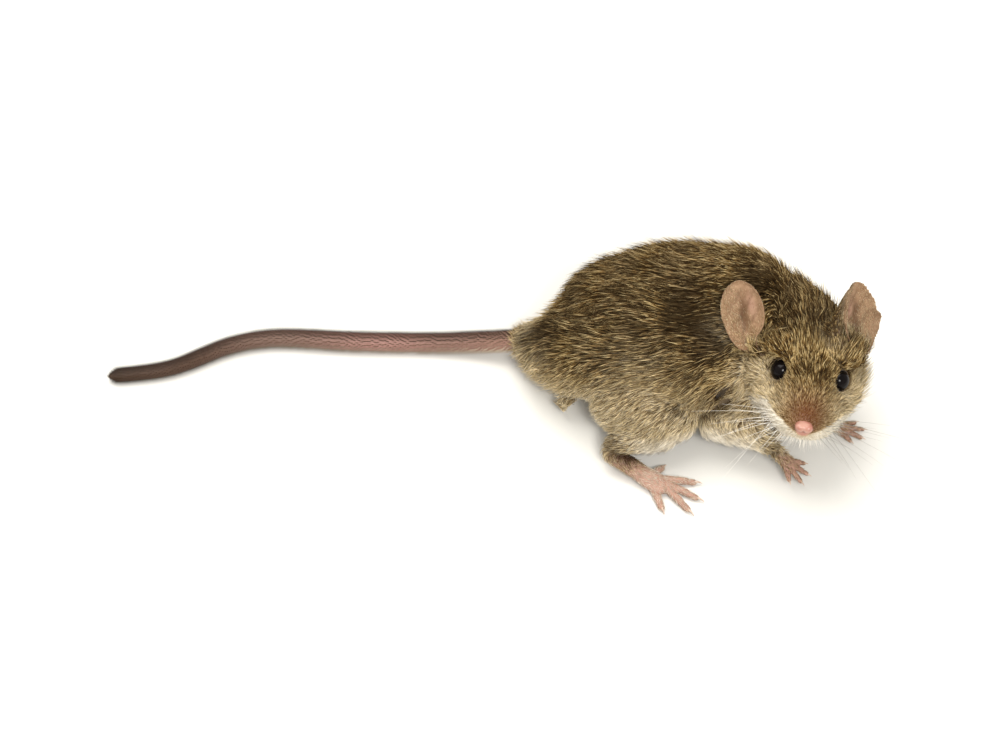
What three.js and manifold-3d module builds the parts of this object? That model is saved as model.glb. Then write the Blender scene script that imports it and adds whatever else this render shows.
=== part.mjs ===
// A live grey house mouse at rest on a flat floor, life size, as a still model.
//
// Millimetres, +Z up. The tail trails towards -X, the body runs towards +X and
// bends so that the head faces -Y. The solids reach to the tips of the coat.
// Lofts are swept through a few named stations; each solid gives way to the
// ones that stand in front of it, with a thin gap, and the soles are flat.

import * as THREE from "three";
import { LoftGeometry } from "three/addons/geometries/LoftGeometry.js";
import { mergeVertices } from "three/addons/utils/BufferGeometryUtils.js";
import Module from "manifold-3d";

const wasm = await Module();
wasm.setup();

// ---------------------------------------------------------------- dimensions

const GAP = 0.3; // clearance between neighbouring solids
const DEGREE = Math.PI / 180;

const TAIL_ROOT_RADIUS = 1.58;
const TAIL_MID_RADIUS = 1.44;
const TAIL_TIP_RADIUS = 1.12;
const TAIL_LENGTHS = 5;

const EYE_LEVEL = 17.2; // height of the line between the eyes
const HEAD_X = 48.8;
const HEAD_Y = -15.4;
const HEAD_HEADING = -97; // the nose points to -Y, a little towards the tail
const HEAD_PITCH = 16; // nose up
const HEAD_ROLL = -6; // the left side hangs lower

const EYE_SPACING = 9.0;
const EYE_RADIUS = 1.75;
const EYE_FORWARD = 0.2;
const EYE_RISE = 1.0;

const EAR_THICKNESS = 0.75;
const EAR_CUP = 2.6; // how far the sides of the root stand in front of its middle

const TOE_RADIUS = 0.72;
const FINGER_RADIUS = 0.48;
const CLAW_RADIUS = 0.26;

const COAT = 0x6b5f4c;
const DARK_COAT = 0x574d3e;
const BARE_SKIN = 0xb08c80;
const EAR_SKIN = 0xa98f7d;
const TAIL_SKIN = 0x6f5650;
const EYE_BLACK = 0x0b0a0c;

// ------------------------------------------------------------------- helpers

const vector = (x, y, z) => new THREE.Vector3(x, y, z);

// Catmull-Rom value of a list of numbers at a fractional index
function between(values, at) {
  const last = values.length - 1;
  const i = Math.min(Math.floor(at), last - 1);
  const t = at - i;
  const p1 = values[i];
  const p2 = values[i + 1];
  const p0 = i > 0 ? values[i - 1] : 2 * p1 - p2;
  const p3 = i + 2 <= last ? values[i + 2] : 2 * p2 - p1;
  const bend = 2 * p0 - 5 * p1 + 4 * p2 - p3;
  const twist = 3 * (p1 - p2) + p3 - p0;
  return 0.5 * (2 * p1 + (p2 - p0) * t + bend * t * t + twist * t * t * t);
}

// turns a closed geometry into a solid that can be joined and cut
function solidOf(geometry) {
  const bare = new THREE.BufferGeometry();
  bare.setAttribute("position", geometry.getAttribute("position"));
  bare.setIndex(geometry.getIndex());
  const merged = mergeVertices(bare, 1e-5);
  return new wasm.Manifold(new wasm.Mesh({
    numProp: 3,
    vertProperties: new Float32Array(merged.attributes.position.array),
    triVerts: new Uint32Array(merged.index.array),
  }));
}

function geometryOf(solid) {
  const mesh = solid.getMesh();
  const geometry = new THREE.BufferGeometry();
  geometry.setAttribute("position", new THREE.BufferAttribute(mesh.vertProperties, 3));
  geometry.setIndex(new THREE.BufferAttribute(mesh.triVerts, 1));
  geometry.computeVertexNormals();
  return geometry;
}

const joined = (solids) => solids.reduce((sum, next) => sum.add(next));

// A frame at an origin: heading, pitch and roll in degrees, +X forward and +Y
// to the left.
function frameOf(origin, heading, pitch = 0, roll = 0) {
  const turn = new THREE.Euler(roll * DEGREE, -pitch * DEGREE, heading * DEGREE, "ZYX");
  return new THREE.Matrix4().makeRotationFromEuler(turn).setPosition(origin);
}

// quarter-round fall of a section's size towards an end that is domed
const domed = (part) => Math.sqrt(Math.max(1 - (1 - part) * (1 - part), 0));
const DOME_TIP = 0.06; // what is left of the section at the very end

// A loft through stations. A station is [x, y, z, wide, up, down]: the centre
// and how far the section reaches sideways, upwards and downwards. The ends
// are domed over startDome and endDome millimetres, and flat where that is 0.
// grow pushes the surface outwards; form reshapes a point; frame places it.
function loft(stations, options = {}) {
  const { rings = 10, sides = 12, startDome = 0, endDome = 0, grow = 0, level = false } = options;
  const { form = (point) => point, frame = new THREE.Matrix4() } = options;
  const columns = [0, 1, 2, 3, 4, 5].map((k) => stations.map((station) => station[k]));
  const last = stations.length - 1;
  const centre = (at) => vector(...[0, 1, 2].map((k) => between(columns[k], at)));

  const fine = 120;
  const places = [centre(0)];
  const lengths = [0];
  for (let i = 1; i <= fine; i++) {
    places.push(centre((i / fine) * last));
    lengths.push(lengths[i - 1] + places[i].distanceTo(places[i - 1]));
  }
  const total = lengths[fine];
  const stationAt = (length) => {
    let i = 1;
    while (i < fine && lengths[i] < length) i++;
    const part = (length - lengths[i - 1]) / (lengths[i] - lengths[i - 1]);
    return Math.min(Math.max(((i - 1 + part) / fine) * last, 0), last);
  };

  const crowding = startDome || endDome ? 0.55 : 0; // rings draw together at round ends
  const sections = [];
  for (let i = 0; i <= rings; i++) {
    const even = i / rings;
    const eased = (1 - Math.cos(even * Math.PI)) / 2;
    const length = total * (even * (1 - crowding) + eased * crowding);
    const at = stationAt(length);
    const along = centre(Math.min(at + 0.02, last)).sub(centre(Math.max(at - 0.02, 0)));
    if (level) along.z = 0;
    along.normalize();
    const left = vector(-along.y, along.x, 0).normalize();
    const rise = vector(0, 0, 0).crossVectors(along, left);
    const startSize = startDome ? domed(Math.min(length / startDome, 1)) : 1;
    const endSize = endDome ? domed(Math.min((total - length) / endDome, 1)) : 1;
    const size = Math.max(startSize * endSize, DOME_TIP);
    const middle = centre(at).addScaledVector(along, grow * (startSize - endSize));
    if (i === 0 && !startDome) middle.addScaledVector(along, -grow);
    if (i === rings && !endDome) middle.addScaledVector(along, grow);
    const [wide, up, down] = [3, 4, 5].map((k) => between(columns[k], at) * size + grow);
    const section = [];
    for (let j = 0; j < sides; j++) {
      const angle = (j / sides) * 2 * Math.PI;
      const upwards = (Math.sin(angle) > 0 ? up : down) * Math.sin(angle);
      const point = middle.clone().addScaledVector(left, wide * Math.cos(angle));
      section.push(form(point.addScaledVector(rise, upwards)).applyMatrix4(frame));
    }
    sections.push(section);
  }
  return solidOf(new LoftGeometry(sections, { capStart: true, capEnd: true }));
}

// --------------------------------------------------------------------- trunk

// rump, loins, hump of the back and chest, from the root of the tail forward
const TRUNK_LINE = [
  [3.2, 3.6, 5.2, 2.8, 3.2, 2.4],
  [7.0, 1.4, 6.6, 6.2, 5.8, 4.8],
  [10.8, 0.2, 8.8, 10.0, 9.2, 7.2],
  [15.0, -0.2, 10.8, 12.6, 11.8, 9.4],
  [20.5, -0.9, 12.2, 14.4, 12.9, 11.2],
  [26.0, -1.2, 12.8, 15.1, 13.9, 11.6],
  [32.5, -1.6, 12.6, 15.6, 14.8, 12.0],
  [38.0, 0.2, 12.0, 13.0, 15.2, 10.6],
  [42.5, 1.2, 12.0, 10.8, 13.5, 9.2],
  [48.2, 1.0, 12.2, 7.8, 9.4, 7.6],
];
const TRUNK_SHAPE = { rings: 16, sides: 20, startDome: 1.6, endDome: 6, level: true };

// the front of the chest, low between the forelegs
const CHEST_LINE = [
  [43.5, -3.0, 9.0, 5.2, 5.0, 5.4],
  [43.6, -9.5, 7.9, 5.0, 4.8, 4.8],
  [42.4, -17.2, 6.9, 3.6, 3.5, 3.4],
];
const CHEST_SHAPE = { rings: 4, sides: 10, startDome: 3, endDome: 2.8 };

const trunk = (grow) => joined([
  loft(TRUNK_LINE, { ...TRUNK_SHAPE, grow }),
  loft(CHEST_LINE, { ...CHEST_SHAPE, grow }),
]);

const NECK_LINE = [
  [41.6, 1.2, 13.4, 9.6, 9.8, 8.4],
  [44.8, -1.0, 13.8, 9.4, 8.5, 8.2],
  [47.8, -3.6, 14.4, 8.8, 7.5, 7.8],
  [50.4, -6.8, 15.4, 8.4, 6.6, 7.2],
];
const NECK_SHAPE = { rings: 6, sides: 13, startDome: 3, endDome: 3 };

// loose skin between the right cheek and the shoulder
const RUFF_LINE = [
  [40.2, -8.6, 20.0, 3.5, 3.5, 3.5],
  [40.6, -9.9, 17.4, 4.0, 3.9, 3.9],
  [41.2, -11.1, 14.2, 4.3, 4.0, 4.0],
  [41.8, -11.9, 10.8, 4.2, 3.9, 3.9],
];
const RUFF_SHAPE = { rings: 4, sides: 8, startDome: 2, endDome: 2 };

const neck = (grow) => joined([
  loft(NECK_LINE, { ...NECK_SHAPE, grow }),
  loft(RUFF_LINE, { ...RUFF_SHAPE, grow }),
]);

// ---------------------------------------------------------------------- head

// in the head's own frame: the origin midway between the eyes, +X to the nose
const HEAD_LINE = [
  [-14.0, 0, 0.6, 5.4, 5.4, 5.2],
  [-11.0, 0, 0.0, 8.2, 7.0, 6.8],
  [-7.4, 0, -1.0, 9.5, 8.2, 7.2],
  [-3.7, 0, -1.8, 9.6, 8.2, 6.6],
  [0.0, 0, -2.2, 8.7, 7.5, 5.8],
  [2.8, 0, -2.5, 7.2, 6.4, 4.8],
  [5.4, 0, -2.8, 5.8, 5.1, 3.9],
  [7.8, 0, -3.0, 4.3, 3.7, 3.0],
  [10.2, 0, -3.0, 2.3, 2.1, 1.9],
];
const HEAD_FRAME = frameOf(vector(HEAD_X, HEAD_Y, EYE_LEVEL), HEAD_HEADING, HEAD_PITCH, HEAD_ROLL);

// soft swells and dips of the face, each with its twin on the other side:
// [x, y, z, reach, height]
const FACE_SWELLS = [
  [7.2, 3.0, -4.2, 2.4, 0.5], // whisker pad
  [3.0, 4.4, 1.0, 2.6, -0.7], // dip in front of the eye
  [-0.6, 5.6, 0.6, 2.4, -0.5], // socket
  [-2.0, 4.6, 5.2, 2.6, 0.3], // brow
  [-5.0, 9.0, -3.4, 4.2, 0.5], // cheek
];
const BROW_LEVEL = -1.5; // above it the head narrows towards the crown
const BROW_PINCH = 0.042; // share of the width lost for each millimetre above

function faceForm(point) {
  const above = Math.max(point.z - BROW_LEVEL, 0);
  const forward = THREE.MathUtils.smoothstep(point.x, -9, 1);
  point.y *= 1 - BROW_PINCH * above * forward;
  const outwards = point.clone().sub(vector(point.x, 0, BROW_LEVEL)).normalize();
  for (const [x, y, z, reach, height] of FACE_SWELLS) {
    for (const side of [-1, 1]) {
      const away = point.distanceTo(vector(x, side * y, z)) / reach;
      point.addScaledVector(outwards, height * Math.exp(-away * away));
    }
  }
  return point;
}

// the bare pad at the tip of the muzzle
const NOSE_LINE = [
  [8.8, 0, -2.4, 1.1, 0.7, 1.0],
  [10.1, 0, -2.7, 1.45, 0.9, 1.2],
  [11.1, 0, -3.0, 1.0, 0.7, 0.95],
];

function head(grow) {
  const skull = { rings: 15, sides: 16, startDome: 4, endDome: 1.2, form: faceForm };
  const nose = { rings: 5, sides: 10, startDome: 0.6, endDome: 0.9 };
  return joined([
    loft(HEAD_LINE, { ...skull, grow, frame: HEAD_FRAME }),
    loft(NOSE_LINE, { ...nose, grow, frame: HEAD_FRAME }),
  ]);
}

function eye(side, grow) {
  const sphere = new THREE.SphereGeometry(EYE_RADIUS + grow, 12, 7);
  sphere.translate(EYE_FORWARD, (side * EYE_SPACING) / 2, EYE_RISE);
  return solidOf(sphere.applyMatrix4(HEAD_FRAME));
}

// ---------------------------------------------------------------------- ears

// A cupped leaf whose width and hollow change with height. In the ear's own
// frame +Z runs from root to tip and the hollow faces +X.
function earLeaf({ tall, halfWidth }, grow, frame) {
  const rows = 8;
  const steps = 7;
  const widest = 0.56;
  const sections = [];
  for (let i = 0; i <= rows; i++) {
    const height = i / rows;
    const outline = Math.sqrt(Math.max(1 - ((height - widest) / 0.47) ** 2, 0));
    const wide = halfWidth * Math.max(outline, 0.42 * (1 - height), 0.22) + grow;
    const cup = EAR_CUP * (1 - height) + 0.9 * height * outline;
    const thick = EAR_THICKNESS / 2 + 0.45 * (1 - height) ** 2 + grow;
    const z = height * tall + (i === rows ? grow : 0) - (i === 0 ? grow : 0);
    const point = (k, side) => {
      const across = -1 + (2 * k) / (steps - 1);
      const hollow = cup * (0.9 * across * across - 0.3);
      const rim = Math.sqrt(1 - 0.55 * across * across);
      return vector(hollow + side * thick * rim, wide * across, z).applyMatrix4(frame);
    };
    const section = [];
    for (let k = 0; k < steps; k++) section.push(point(k, 1));
    for (let k = steps - 1; k >= 0; k--) section.push(point(k, -1));
    sections.push(section);
  }
  return solidOf(new LoftGeometry(sections, { capStart: true, capEnd: true }));
}

// each ear: its size, its root, the way it stands and the way its hollow faces
const RIGHT_EAR = {
  tall: 10.4,
  halfWidth: 3.5,
  root: vector(39.5, -11.6, 21.5),
  stands: vector(-0.21, 0.58, 0.79),
  faces: vector(-0.28, -0.6, 0.75),
};
const LEFT_EAR = {
  tall: 11.4,
  halfWidth: 3.8,
  root: vector(56.2, -10.7, 18.8),
  stands: vector(-0.02, 0.51, 0.86),
  faces: vector(0.66, -0.5, 0.52),
};

// the folded front edge of the left ear, in the ear's frame
const EAR_FOLD = [
  [-0.5, -2.4, -1.4, 1.5, 1.3, 1.3],
  [-0.1, -3.3, 2.4, 1.3, 1.2, 1.2],
  [0.0, -3.7, 5.4, 0.85, 0.8, 0.8],
  [0.1, -3.0, 8.6, 0.5, 0.45, 0.45],
];
const FOLD_SHAPE = { rings: 3, sides: 6, startDome: 1, endDome: 0.5 };

function ear({ stands, faces, root, ...size }, grow, fold) {
  const up = stands.clone().normalize();
  const across = vector(0, 0, 0).crossVectors(up, faces).normalize();
  const front = vector(0, 0, 0).crossVectors(across, up);
  const frame = new THREE.Matrix4().makeBasis(front, across, up).setPosition(root);
  const leaf = earLeaf(size, grow, frame);
  return fold ? joined([leaf, loft(fold, { ...FOLD_SHAPE, grow, frame })]) : leaf;
}

// ---------------------------------------------------------------------- feet

// A toe or finger with its claw, in the foot's frame.
function digit({ x, y, angle, length }, { radius, rise, drop, mirror = 1, ...place }) {
  const station = (part, height, size) => {
    const forward = x + Math.cos(angle * DEGREE) * length * part;
    const aside = y + Math.sin(angle * DEGREE) * length * part;
    return [forward, mirror * aside, height, size, size, size];
  };
  return loft([
    station(-0.15, rise, radius * 1.15),
    station(0.3, rise + 0.3 * radius, radius),
    station(0.68, rise - 0.4 * drop, radius * 0.86),
    station(0.82, rise - 0.6 * drop, radius * 0.74),
    station(0.91, rise - 0.7 * drop, CLAW_RADIUS * 1.3),
    station(1, rise - drop, CLAW_RADIUS),
  ], { rings: 5, sides: 6, startDome: 0.3, endDome: 0.3, ...place });
}

const HIND_TOES = [
  { x: 7.5, y: 1.2, angle: 58, length: 3.1 },
  { x: 9.9, y: 1.0, angle: 18, length: 5.4 },
  { x: 10.4, y: -0.3, angle: 2, length: 6.2 },
  { x: 10.4, y: -1.5, angle: -14, length: 6.4 },
  { x: 8.9, y: -2.2, angle: -40, length: 4.9 },
];

// the heel raised a little, the sole down at the pads
const HIND_SOLE = [
  [-0.6, 0, 3.5, 1.35, 1.5, 1.4],
  [1.4, 0, 2.9, 1.6, 1.5, 1.5],
  [5.2, -0.1, 1.9, 1.75, 1.4, 1.4],
  [8.4, -0.4, 1.15, 2.2, 1.25, 1.3],
  [11.0, -0.6, 0.85, 2.1, 0.95, 1.0],
];

function hindFoot(frame, mirror, grow) {
  const sole = HIND_SOLE.map(([x, y, ...rest]) => [x, mirror * y, ...rest]);
  const digits = { radius: TOE_RADIUS, rise: 0.62, drop: 0.3, mirror, grow, frame };
  return joined([
    loft(sole, { rings: 7, sides: 9, startDome: 1.2, endDome: 1.2, grow, frame }),
    ...HIND_TOES.map((toe) => digit(toe, digits)),
  ]);
}

const FINGERS = [
  { x: 2.2, y: 0.9, angle: 34, length: 2.7 },
  { x: 2.9, y: 0.4, angle: 12, length: 3.3 },
  { x: 2.9, y: -0.4, angle: -10, length: 3.3 },
  { x: 2.2, y: -0.9, angle: -34, length: 2.7 },
];
const PALM = [
  [-0.8, 0, 1.35, 1.0, 0.95, 0.95],
  [0.8, 0, 1.05, 1.1, 0.95, 0.95],
  [2.2, 0, 0.8, 1.4, 0.85, 0.9],
  [3.4, 0, 0.6, 1.2, 0.6, 0.7],
];

function forepaw(frame, grow) {
  const digits = { radius: FINGER_RADIUS, rise: 0.42, drop: 0.15, grow, frame };
  return joined([
    loft(PALM, { rings: 5, sides: 8, startDome: 0.8, endDome: 0.8, grow, frame }),
    ...FINGERS.map((finger) => digit(finger, digits)),
  ]);
}

// the heel or wrist over the floor, and where the foot points
const RIGHT_HIND_FOOT = frameOf(vector(17.4, -18.2, 0), -29);
const LEFT_HIND_FOOT = frameOf(vector(19.5, 10.2, 0), 14);
const RIGHT_FOREPAW = frameOf(vector(43.9, -20.6, 3.7), -36, -20, 10); // lifted, hanging
const LEFT_FOREPAW = frameOf(vector(53.7, -11.4, 0), -15);

// ---------------------------------------------------------------------- legs

const RIGHT_THIGH = [
  [16.0, -9.0, 7.4, 4.6, 5.6, 5.0],
  [20.0, -12.2, 8.0, 6.2, 7.0, 6.4],
  [25.0, -14.0, 7.8, 6.6, 7.0, 6.4],
  [32.0, -14.6, 6.7, 4.3, 4.5, 4.2],
];
const RIGHT_SHANK = [
  [28.6, -16.8, 5.8, 3.0, 3.2, 3.2],
  [23.6, -17.6, 5.4, 2.8, 3.2, 3.0],
  [19.6, -18.0, 4.8, 2.2, 2.4, 2.2],
  [17.0, -18.0, 4.2, 1.6, 1.7, 1.7],
];
const LEFT_THIGH = [
  [19.0, 4.6, 8.0, 4.6, 5.6, 5.4],
  [23.4, 7.0, 8.6, 6.0, 6.8, 6.6],
  [28.4, 8.2, 8.2, 5.6, 6.2, 6.0],
  [33.4, 8.8, 6.8, 3.8, 4.4, 4.4],
];
const LEFT_SHANK = [
  [31.2, 9.8, 5.8, 3.0, 3.2, 3.2],
  [25.8, 10.6, 5.2, 2.6, 3.0, 2.8],
  [21.6, 10.6, 4.6, 2.0, 2.2, 2.2],
  [19.2, 10.4, 4.0, 1.5, 1.6, 1.6],
];
const RIGHT_ARM = [
  [41.0, -9.4, 10.8, 4.8, 5.4, 5.0],
  [38.0, -12.6, 9.0, 4.4, 5.0, 4.6],
  [36.4, -15.2, 7.2, 3.2, 3.6, 3.4],
];
const RIGHT_FOREARM = [
  [32.7, -13.9, 6.1, 3.5, 3.4, 3.6],
  [39.6, -17.8, 6.6, 2.5, 2.7, 2.5],
  [42.4, -19.6, 5.7, 1.8, 1.9, 1.8],
  [44.0, -20.7, 5.1, 1.3, 1.35, 1.3],
];
const LEFT_ARM = [
  [50.4, -3.6, 11.0, 4.2, 4.8, 4.4],
  [49.6, -5.6, 8.4, 3.8, 4.2, 3.8],
  [49.2, -7.2, 6.2, 2.8, 3.0, 2.8],
];
const LEFT_FOREARM = [
  [49.0, -7.4, 6.2, 2.7, 2.9, 2.7],
  [51.2, -9.4, 4.2, 2.2, 2.2, 2.1],
  [53.0, -10.9, 2.7, 1.6, 1.6, 1.6],
  [54.2, -11.6, 1.7, 1.2, 1.2, 1.2],
];

const leg = (upper, lower, grow) => joined([
  loft(upper, { rings: 6, sides: 12, startDome: 4, endDome: 3, grow }),
  loft(lower, { rings: 6, sides: 9, startDome: 2.4, endDome: 1, grow }),
]);

// ---------------------------------------------------------------------- tail

// the tail from root to tip: down off the rump, straight along the floor, then
// one long bend; heights of 0 lie on the floor
const TAIL_PLAN = [
  [7.0, 2.4, 5.6],
  [3.3, 3.7, 4.4],
  [-3.3, 5.1, 2.5],
  [-11.0, 5.8, 0],
  [-24.0, 6.1, 0],
  [-38.3, 6.8, 0],
  [-44.8, 5.3, 0],
  [-54.5, 0.5, 0],
  [-64.6, -1.2, 0],
];
const TAIL_FLAT = 0.05; // share of the radius that its flat underside takes

function tailRadius(part) {
  const { lerp } = THREE.MathUtils;
  if (part < 0.5) return lerp(TAIL_ROOT_RADIUS, TAIL_MID_RADIUS, part * 2);
  return lerp(TAIL_MID_RADIUS, TAIL_TIP_RADIUS, part * 2 - 1);
}

const TAIL_CURVE = new THREE.CatmullRomCurve3(TAIL_PLAN.map(([x, y, z], i) => {
  const radius = tailRadius(i / (TAIL_PLAN.length - 1));
  return vector(x, y, Math.max(z, radius * (1 - TAIL_FLAT)));
}));

function tailPiece(index, grow) {
  const steps = 9;
  const tip = index === TAIL_LENGTHS - 1;
  const halfGap = GAP / 2 / TAIL_CURVE.getLength();
  const from = index / TAIL_LENGTHS + (index ? halfGap : 0);
  const to = (index + 1) / TAIL_LENGTHS - (tip ? 0 : halfGap);
  const stations = [];
  for (let i = 0; i <= steps; i++) {
    const part = from + ((to - from) * i) / steps;
    const { x, y, z } = TAIL_CURVE.getPointAt(part);
    stations.push([x, y, z, ...Array(3).fill(tailRadius(part))]);
  }
  return loft(stations, { rings: tip ? 8 : 5, sides: 9, endDome: tip ? 3.4 : 0, grow });
}

// ------------------------------------------------------------------ assembly

const makers = {
  eye_left: [(grow) => eye(1, grow), EYE_BLACK],
  eye_right: [(grow) => eye(-1, grow), EYE_BLACK],
  ear_left: [(grow) => ear(LEFT_EAR, grow, EAR_FOLD), EAR_SKIN],
  ear_right: [(grow) => ear(RIGHT_EAR, grow), EAR_SKIN],
  head: [head, COAT],
  hind_foot_right: [(grow) => hindFoot(RIGHT_HIND_FOOT, 1, grow), BARE_SKIN],
  hind_foot_left: [(grow) => hindFoot(LEFT_HIND_FOOT, -1, grow), BARE_SKIN],
  forepaw_right: [(grow) => forepaw(RIGHT_FOREPAW, grow), BARE_SKIN],
  forepaw_left: [(grow) => forepaw(LEFT_FOREPAW, grow), BARE_SKIN],
  foreleg_right: [(grow) => leg(RIGHT_ARM, RIGHT_FOREARM, grow), COAT],
  foreleg_left: [(grow) => leg(LEFT_ARM, LEFT_FOREARM, grow), COAT],
  hind_leg_right: [(grow) => leg(RIGHT_THIGH, RIGHT_SHANK, grow), COAT],
  hind_leg_left: [(grow) => leg(LEFT_THIGH, LEFT_SHANK, grow), COAT],
  neck: [neck, DARK_COAT],
  trunk: [trunk, COAT],
};
for (let i = 0; i < TAIL_LENGTHS; i++) {
  makers[`tail_${i + 1}`] = [(grow) => tailPiece(i, grow), TAIL_SKIN];
}

// each solid that gives way, and what it gives way to
const gives = {
  head: ["eye_left", "eye_right", "ear_left", "ear_right"],
  foreleg_right: ["forepaw_right", "head"],
  foreleg_left: ["forepaw_left", "head"],
  hind_leg_right: ["hind_foot_right"],
  hind_leg_left: ["hind_foot_left"],
  neck: ["head", "ear_left", "ear_right", "foreleg_left", "foreleg_right"],
  trunk: ["neck", "head", "ear_right", "foreleg_left", "foreleg_right", "hind_leg_right",
    "hind_leg_left", "hind_foot_right", "hind_foot_left", "tail_1"],
};

const FLOOR_DEPTH = 40;
const slab = new THREE.BoxGeometry(400, 400, FLOOR_DEPTH).translate(0, 0, -FLOOR_DEPTH / 2);
const floor = solidOf(slab);

const mouse = new THREE.Group();
for (const [name, [make, color]] of Object.entries(makers)) {
  let solid = make(0).subtract(floor);
  for (const other of gives[name] ?? []) solid = solid.subtract(makers[other][0](GAP));
  // a cut can leave crumbs behind: the part is the largest piece
  const [largest] = solid.decompose().sort((a, b) => b.volume() - a.volume());
  const roughness = color === EYE_BLACK ? 0.08 : 0.85;
  const material = new THREE.MeshStandardMaterial({ color, roughness, metalness: 0 });
  const mesh = new THREE.Mesh(geometryOf(largest), material);
  mesh.name = name;
  mouse.add(mesh);
}

// the origin is the middle of the footprint, on the floor
const reach = new THREE.Box3().setFromObject(mouse);
const centre = reach.getCenter(vector(0, 0, 0));
mouse.position.set(-centre.x, -centre.y, -reach.min.z);
mouse.updateMatrixWorld(true);

export default mouse;
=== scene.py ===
import math

import bpy
import numpy as np
from mathutils import Matrix, Vector
from mathutils.bvhtree import BVHTree


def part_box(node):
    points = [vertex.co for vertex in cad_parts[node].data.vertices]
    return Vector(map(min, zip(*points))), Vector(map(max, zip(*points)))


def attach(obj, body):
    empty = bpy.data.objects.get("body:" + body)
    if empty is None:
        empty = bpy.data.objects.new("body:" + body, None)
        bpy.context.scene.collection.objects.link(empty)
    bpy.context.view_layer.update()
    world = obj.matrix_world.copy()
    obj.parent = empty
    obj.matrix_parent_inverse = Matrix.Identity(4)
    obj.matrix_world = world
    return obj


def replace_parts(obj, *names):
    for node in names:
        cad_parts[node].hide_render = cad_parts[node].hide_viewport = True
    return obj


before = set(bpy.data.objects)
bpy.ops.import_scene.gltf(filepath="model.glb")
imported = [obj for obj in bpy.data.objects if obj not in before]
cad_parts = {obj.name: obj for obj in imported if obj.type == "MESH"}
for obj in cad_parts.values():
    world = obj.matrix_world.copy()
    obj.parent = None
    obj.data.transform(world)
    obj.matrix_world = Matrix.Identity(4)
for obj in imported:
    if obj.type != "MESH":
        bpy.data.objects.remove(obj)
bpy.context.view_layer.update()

MM = 0.001
UP = np.array([0.0, 0.0, 1.0])

# ------------------------------------------------------------ driving dimensions

EYE_LEVEL = 17.2  # height of the line between the eyes
HEAD_PLACE = (48.8, -15.4, EYE_LEVEL)
HEAD_HEADING, HEAD_PITCH, HEAD_ROLL = -97, 16, -6
EYE_SPACING = 9.0
EYE_RADIUS = 1.75
EYE_FORWARD, EYE_RISE = 0.2, 1.0
EYE_LOOK = (0.55, 0.73, 0.41)  # the way the left eye looks, in the head's frame
EYE_BULGE = 1.02  # how much further than a ball's its front stands out

EAR_CUP = 2.6  # how deep the hollow of an ear is at its root

TOE_RADIUS = 0.72
FINGER_RADIUS = 0.48

VOXEL = 0.2  # fineness of the skin before it is thinned
SKIN_FACES = 184000
TUFTS = 148000  # in the whole coat
SEED = 7


# ------------------------------------------------------------------ small maths


def unit(vectors):
    vectors = np.asarray(vectors, float)
    length = np.linalg.norm(vectors, axis=-1, keepdims=True)
    return vectors / np.maximum(length, 1e-9)


def smooth(value, start, end):
    """0 before start, 1 past end, and smooth between them"""
    t = np.clip((np.asarray(value, float) - start) / (end - start), 0, 1)
    return t * t * (3 - 2 * t)


def bump(points, centre, reach):
    """1 at the centre, fading out over the reach"""
    away = np.linalg.norm(points - np.asarray(centre, float), axis=-1) / reach
    return np.exp(-away * away)


def frame_of(origin, heading, pitch=0, roll=0):
    """a frame with +X forward and +Y to the left"""
    turn = [math.radians(angle) for angle in (heading, -pitch, roll)]
    spin = Matrix.Rotation(turn[0], 4, "Z") @ Matrix.Rotation(turn[1], 4, "Y")
    spin = spin @ Matrix.Rotation(turn[2], 4, "X")
    return np.array(Matrix.Translation(origin) @ spin)


def placed(points, place):
    return points @ place[:3, :3].T + place[:3, 3]


def within(points, place):
    """the points in the coordinates of that frame"""
    return (points - place[:3, 3]) @ place[:3, :3]


def between(values, at):
    """Catmull-Rom values of a table's rows at fractional indices"""
    values = np.asarray(values, float)
    last = len(values) - 1
    i = np.minimum(np.floor(at).astype(int), last - 1)
    t = (at - i)[:, None]
    p1, p2 = values[i], values[i + 1]
    p0 = np.where((i > 0)[:, None], values[np.maximum(i - 1, 0)], 2 * p1 - p2)
    p3 = np.where((i + 2 <= last)[:, None], values[np.minimum(i + 2, last)], 2 * p2 - p1)
    bend = 2 * p0 - 5 * p1 + 4 * p2 - p3
    twist = 3 * (p1 - p2) + p3 - p0
    return 0.5 * (2 * p1 + (p2 - p0) * t + bend * t**2 + twist * t**3)


HEAD = frame_of(HEAD_PLACE, HEAD_HEADING, HEAD_PITCH, HEAD_ROLL)
EYE_CENTRES = {side: (EYE_FORWARD, side * EYE_SPACING / 2, EYE_RISE) for side in (1, -1)}


def own_to_row():
    """how far the row frame is from the animal's own, in millimetres"""
    low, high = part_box("eye_left")
    return np.array((low + high) / 2) / MM - placed(np.array(EYE_CENTRES[1]), HEAD)


SHIFT = own_to_row()

# ------------------------------------------------------------------- the lofts

DOME_TIP = 0.06  # the least size of a rounded end, as a share of the whole


def domed(part):
    """the size of a rounded end at a share of its length"""
    part = np.clip(part, 0, 1)
    return np.sqrt(np.maximum(1 - (1 - part) ** 2, 0))


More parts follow.
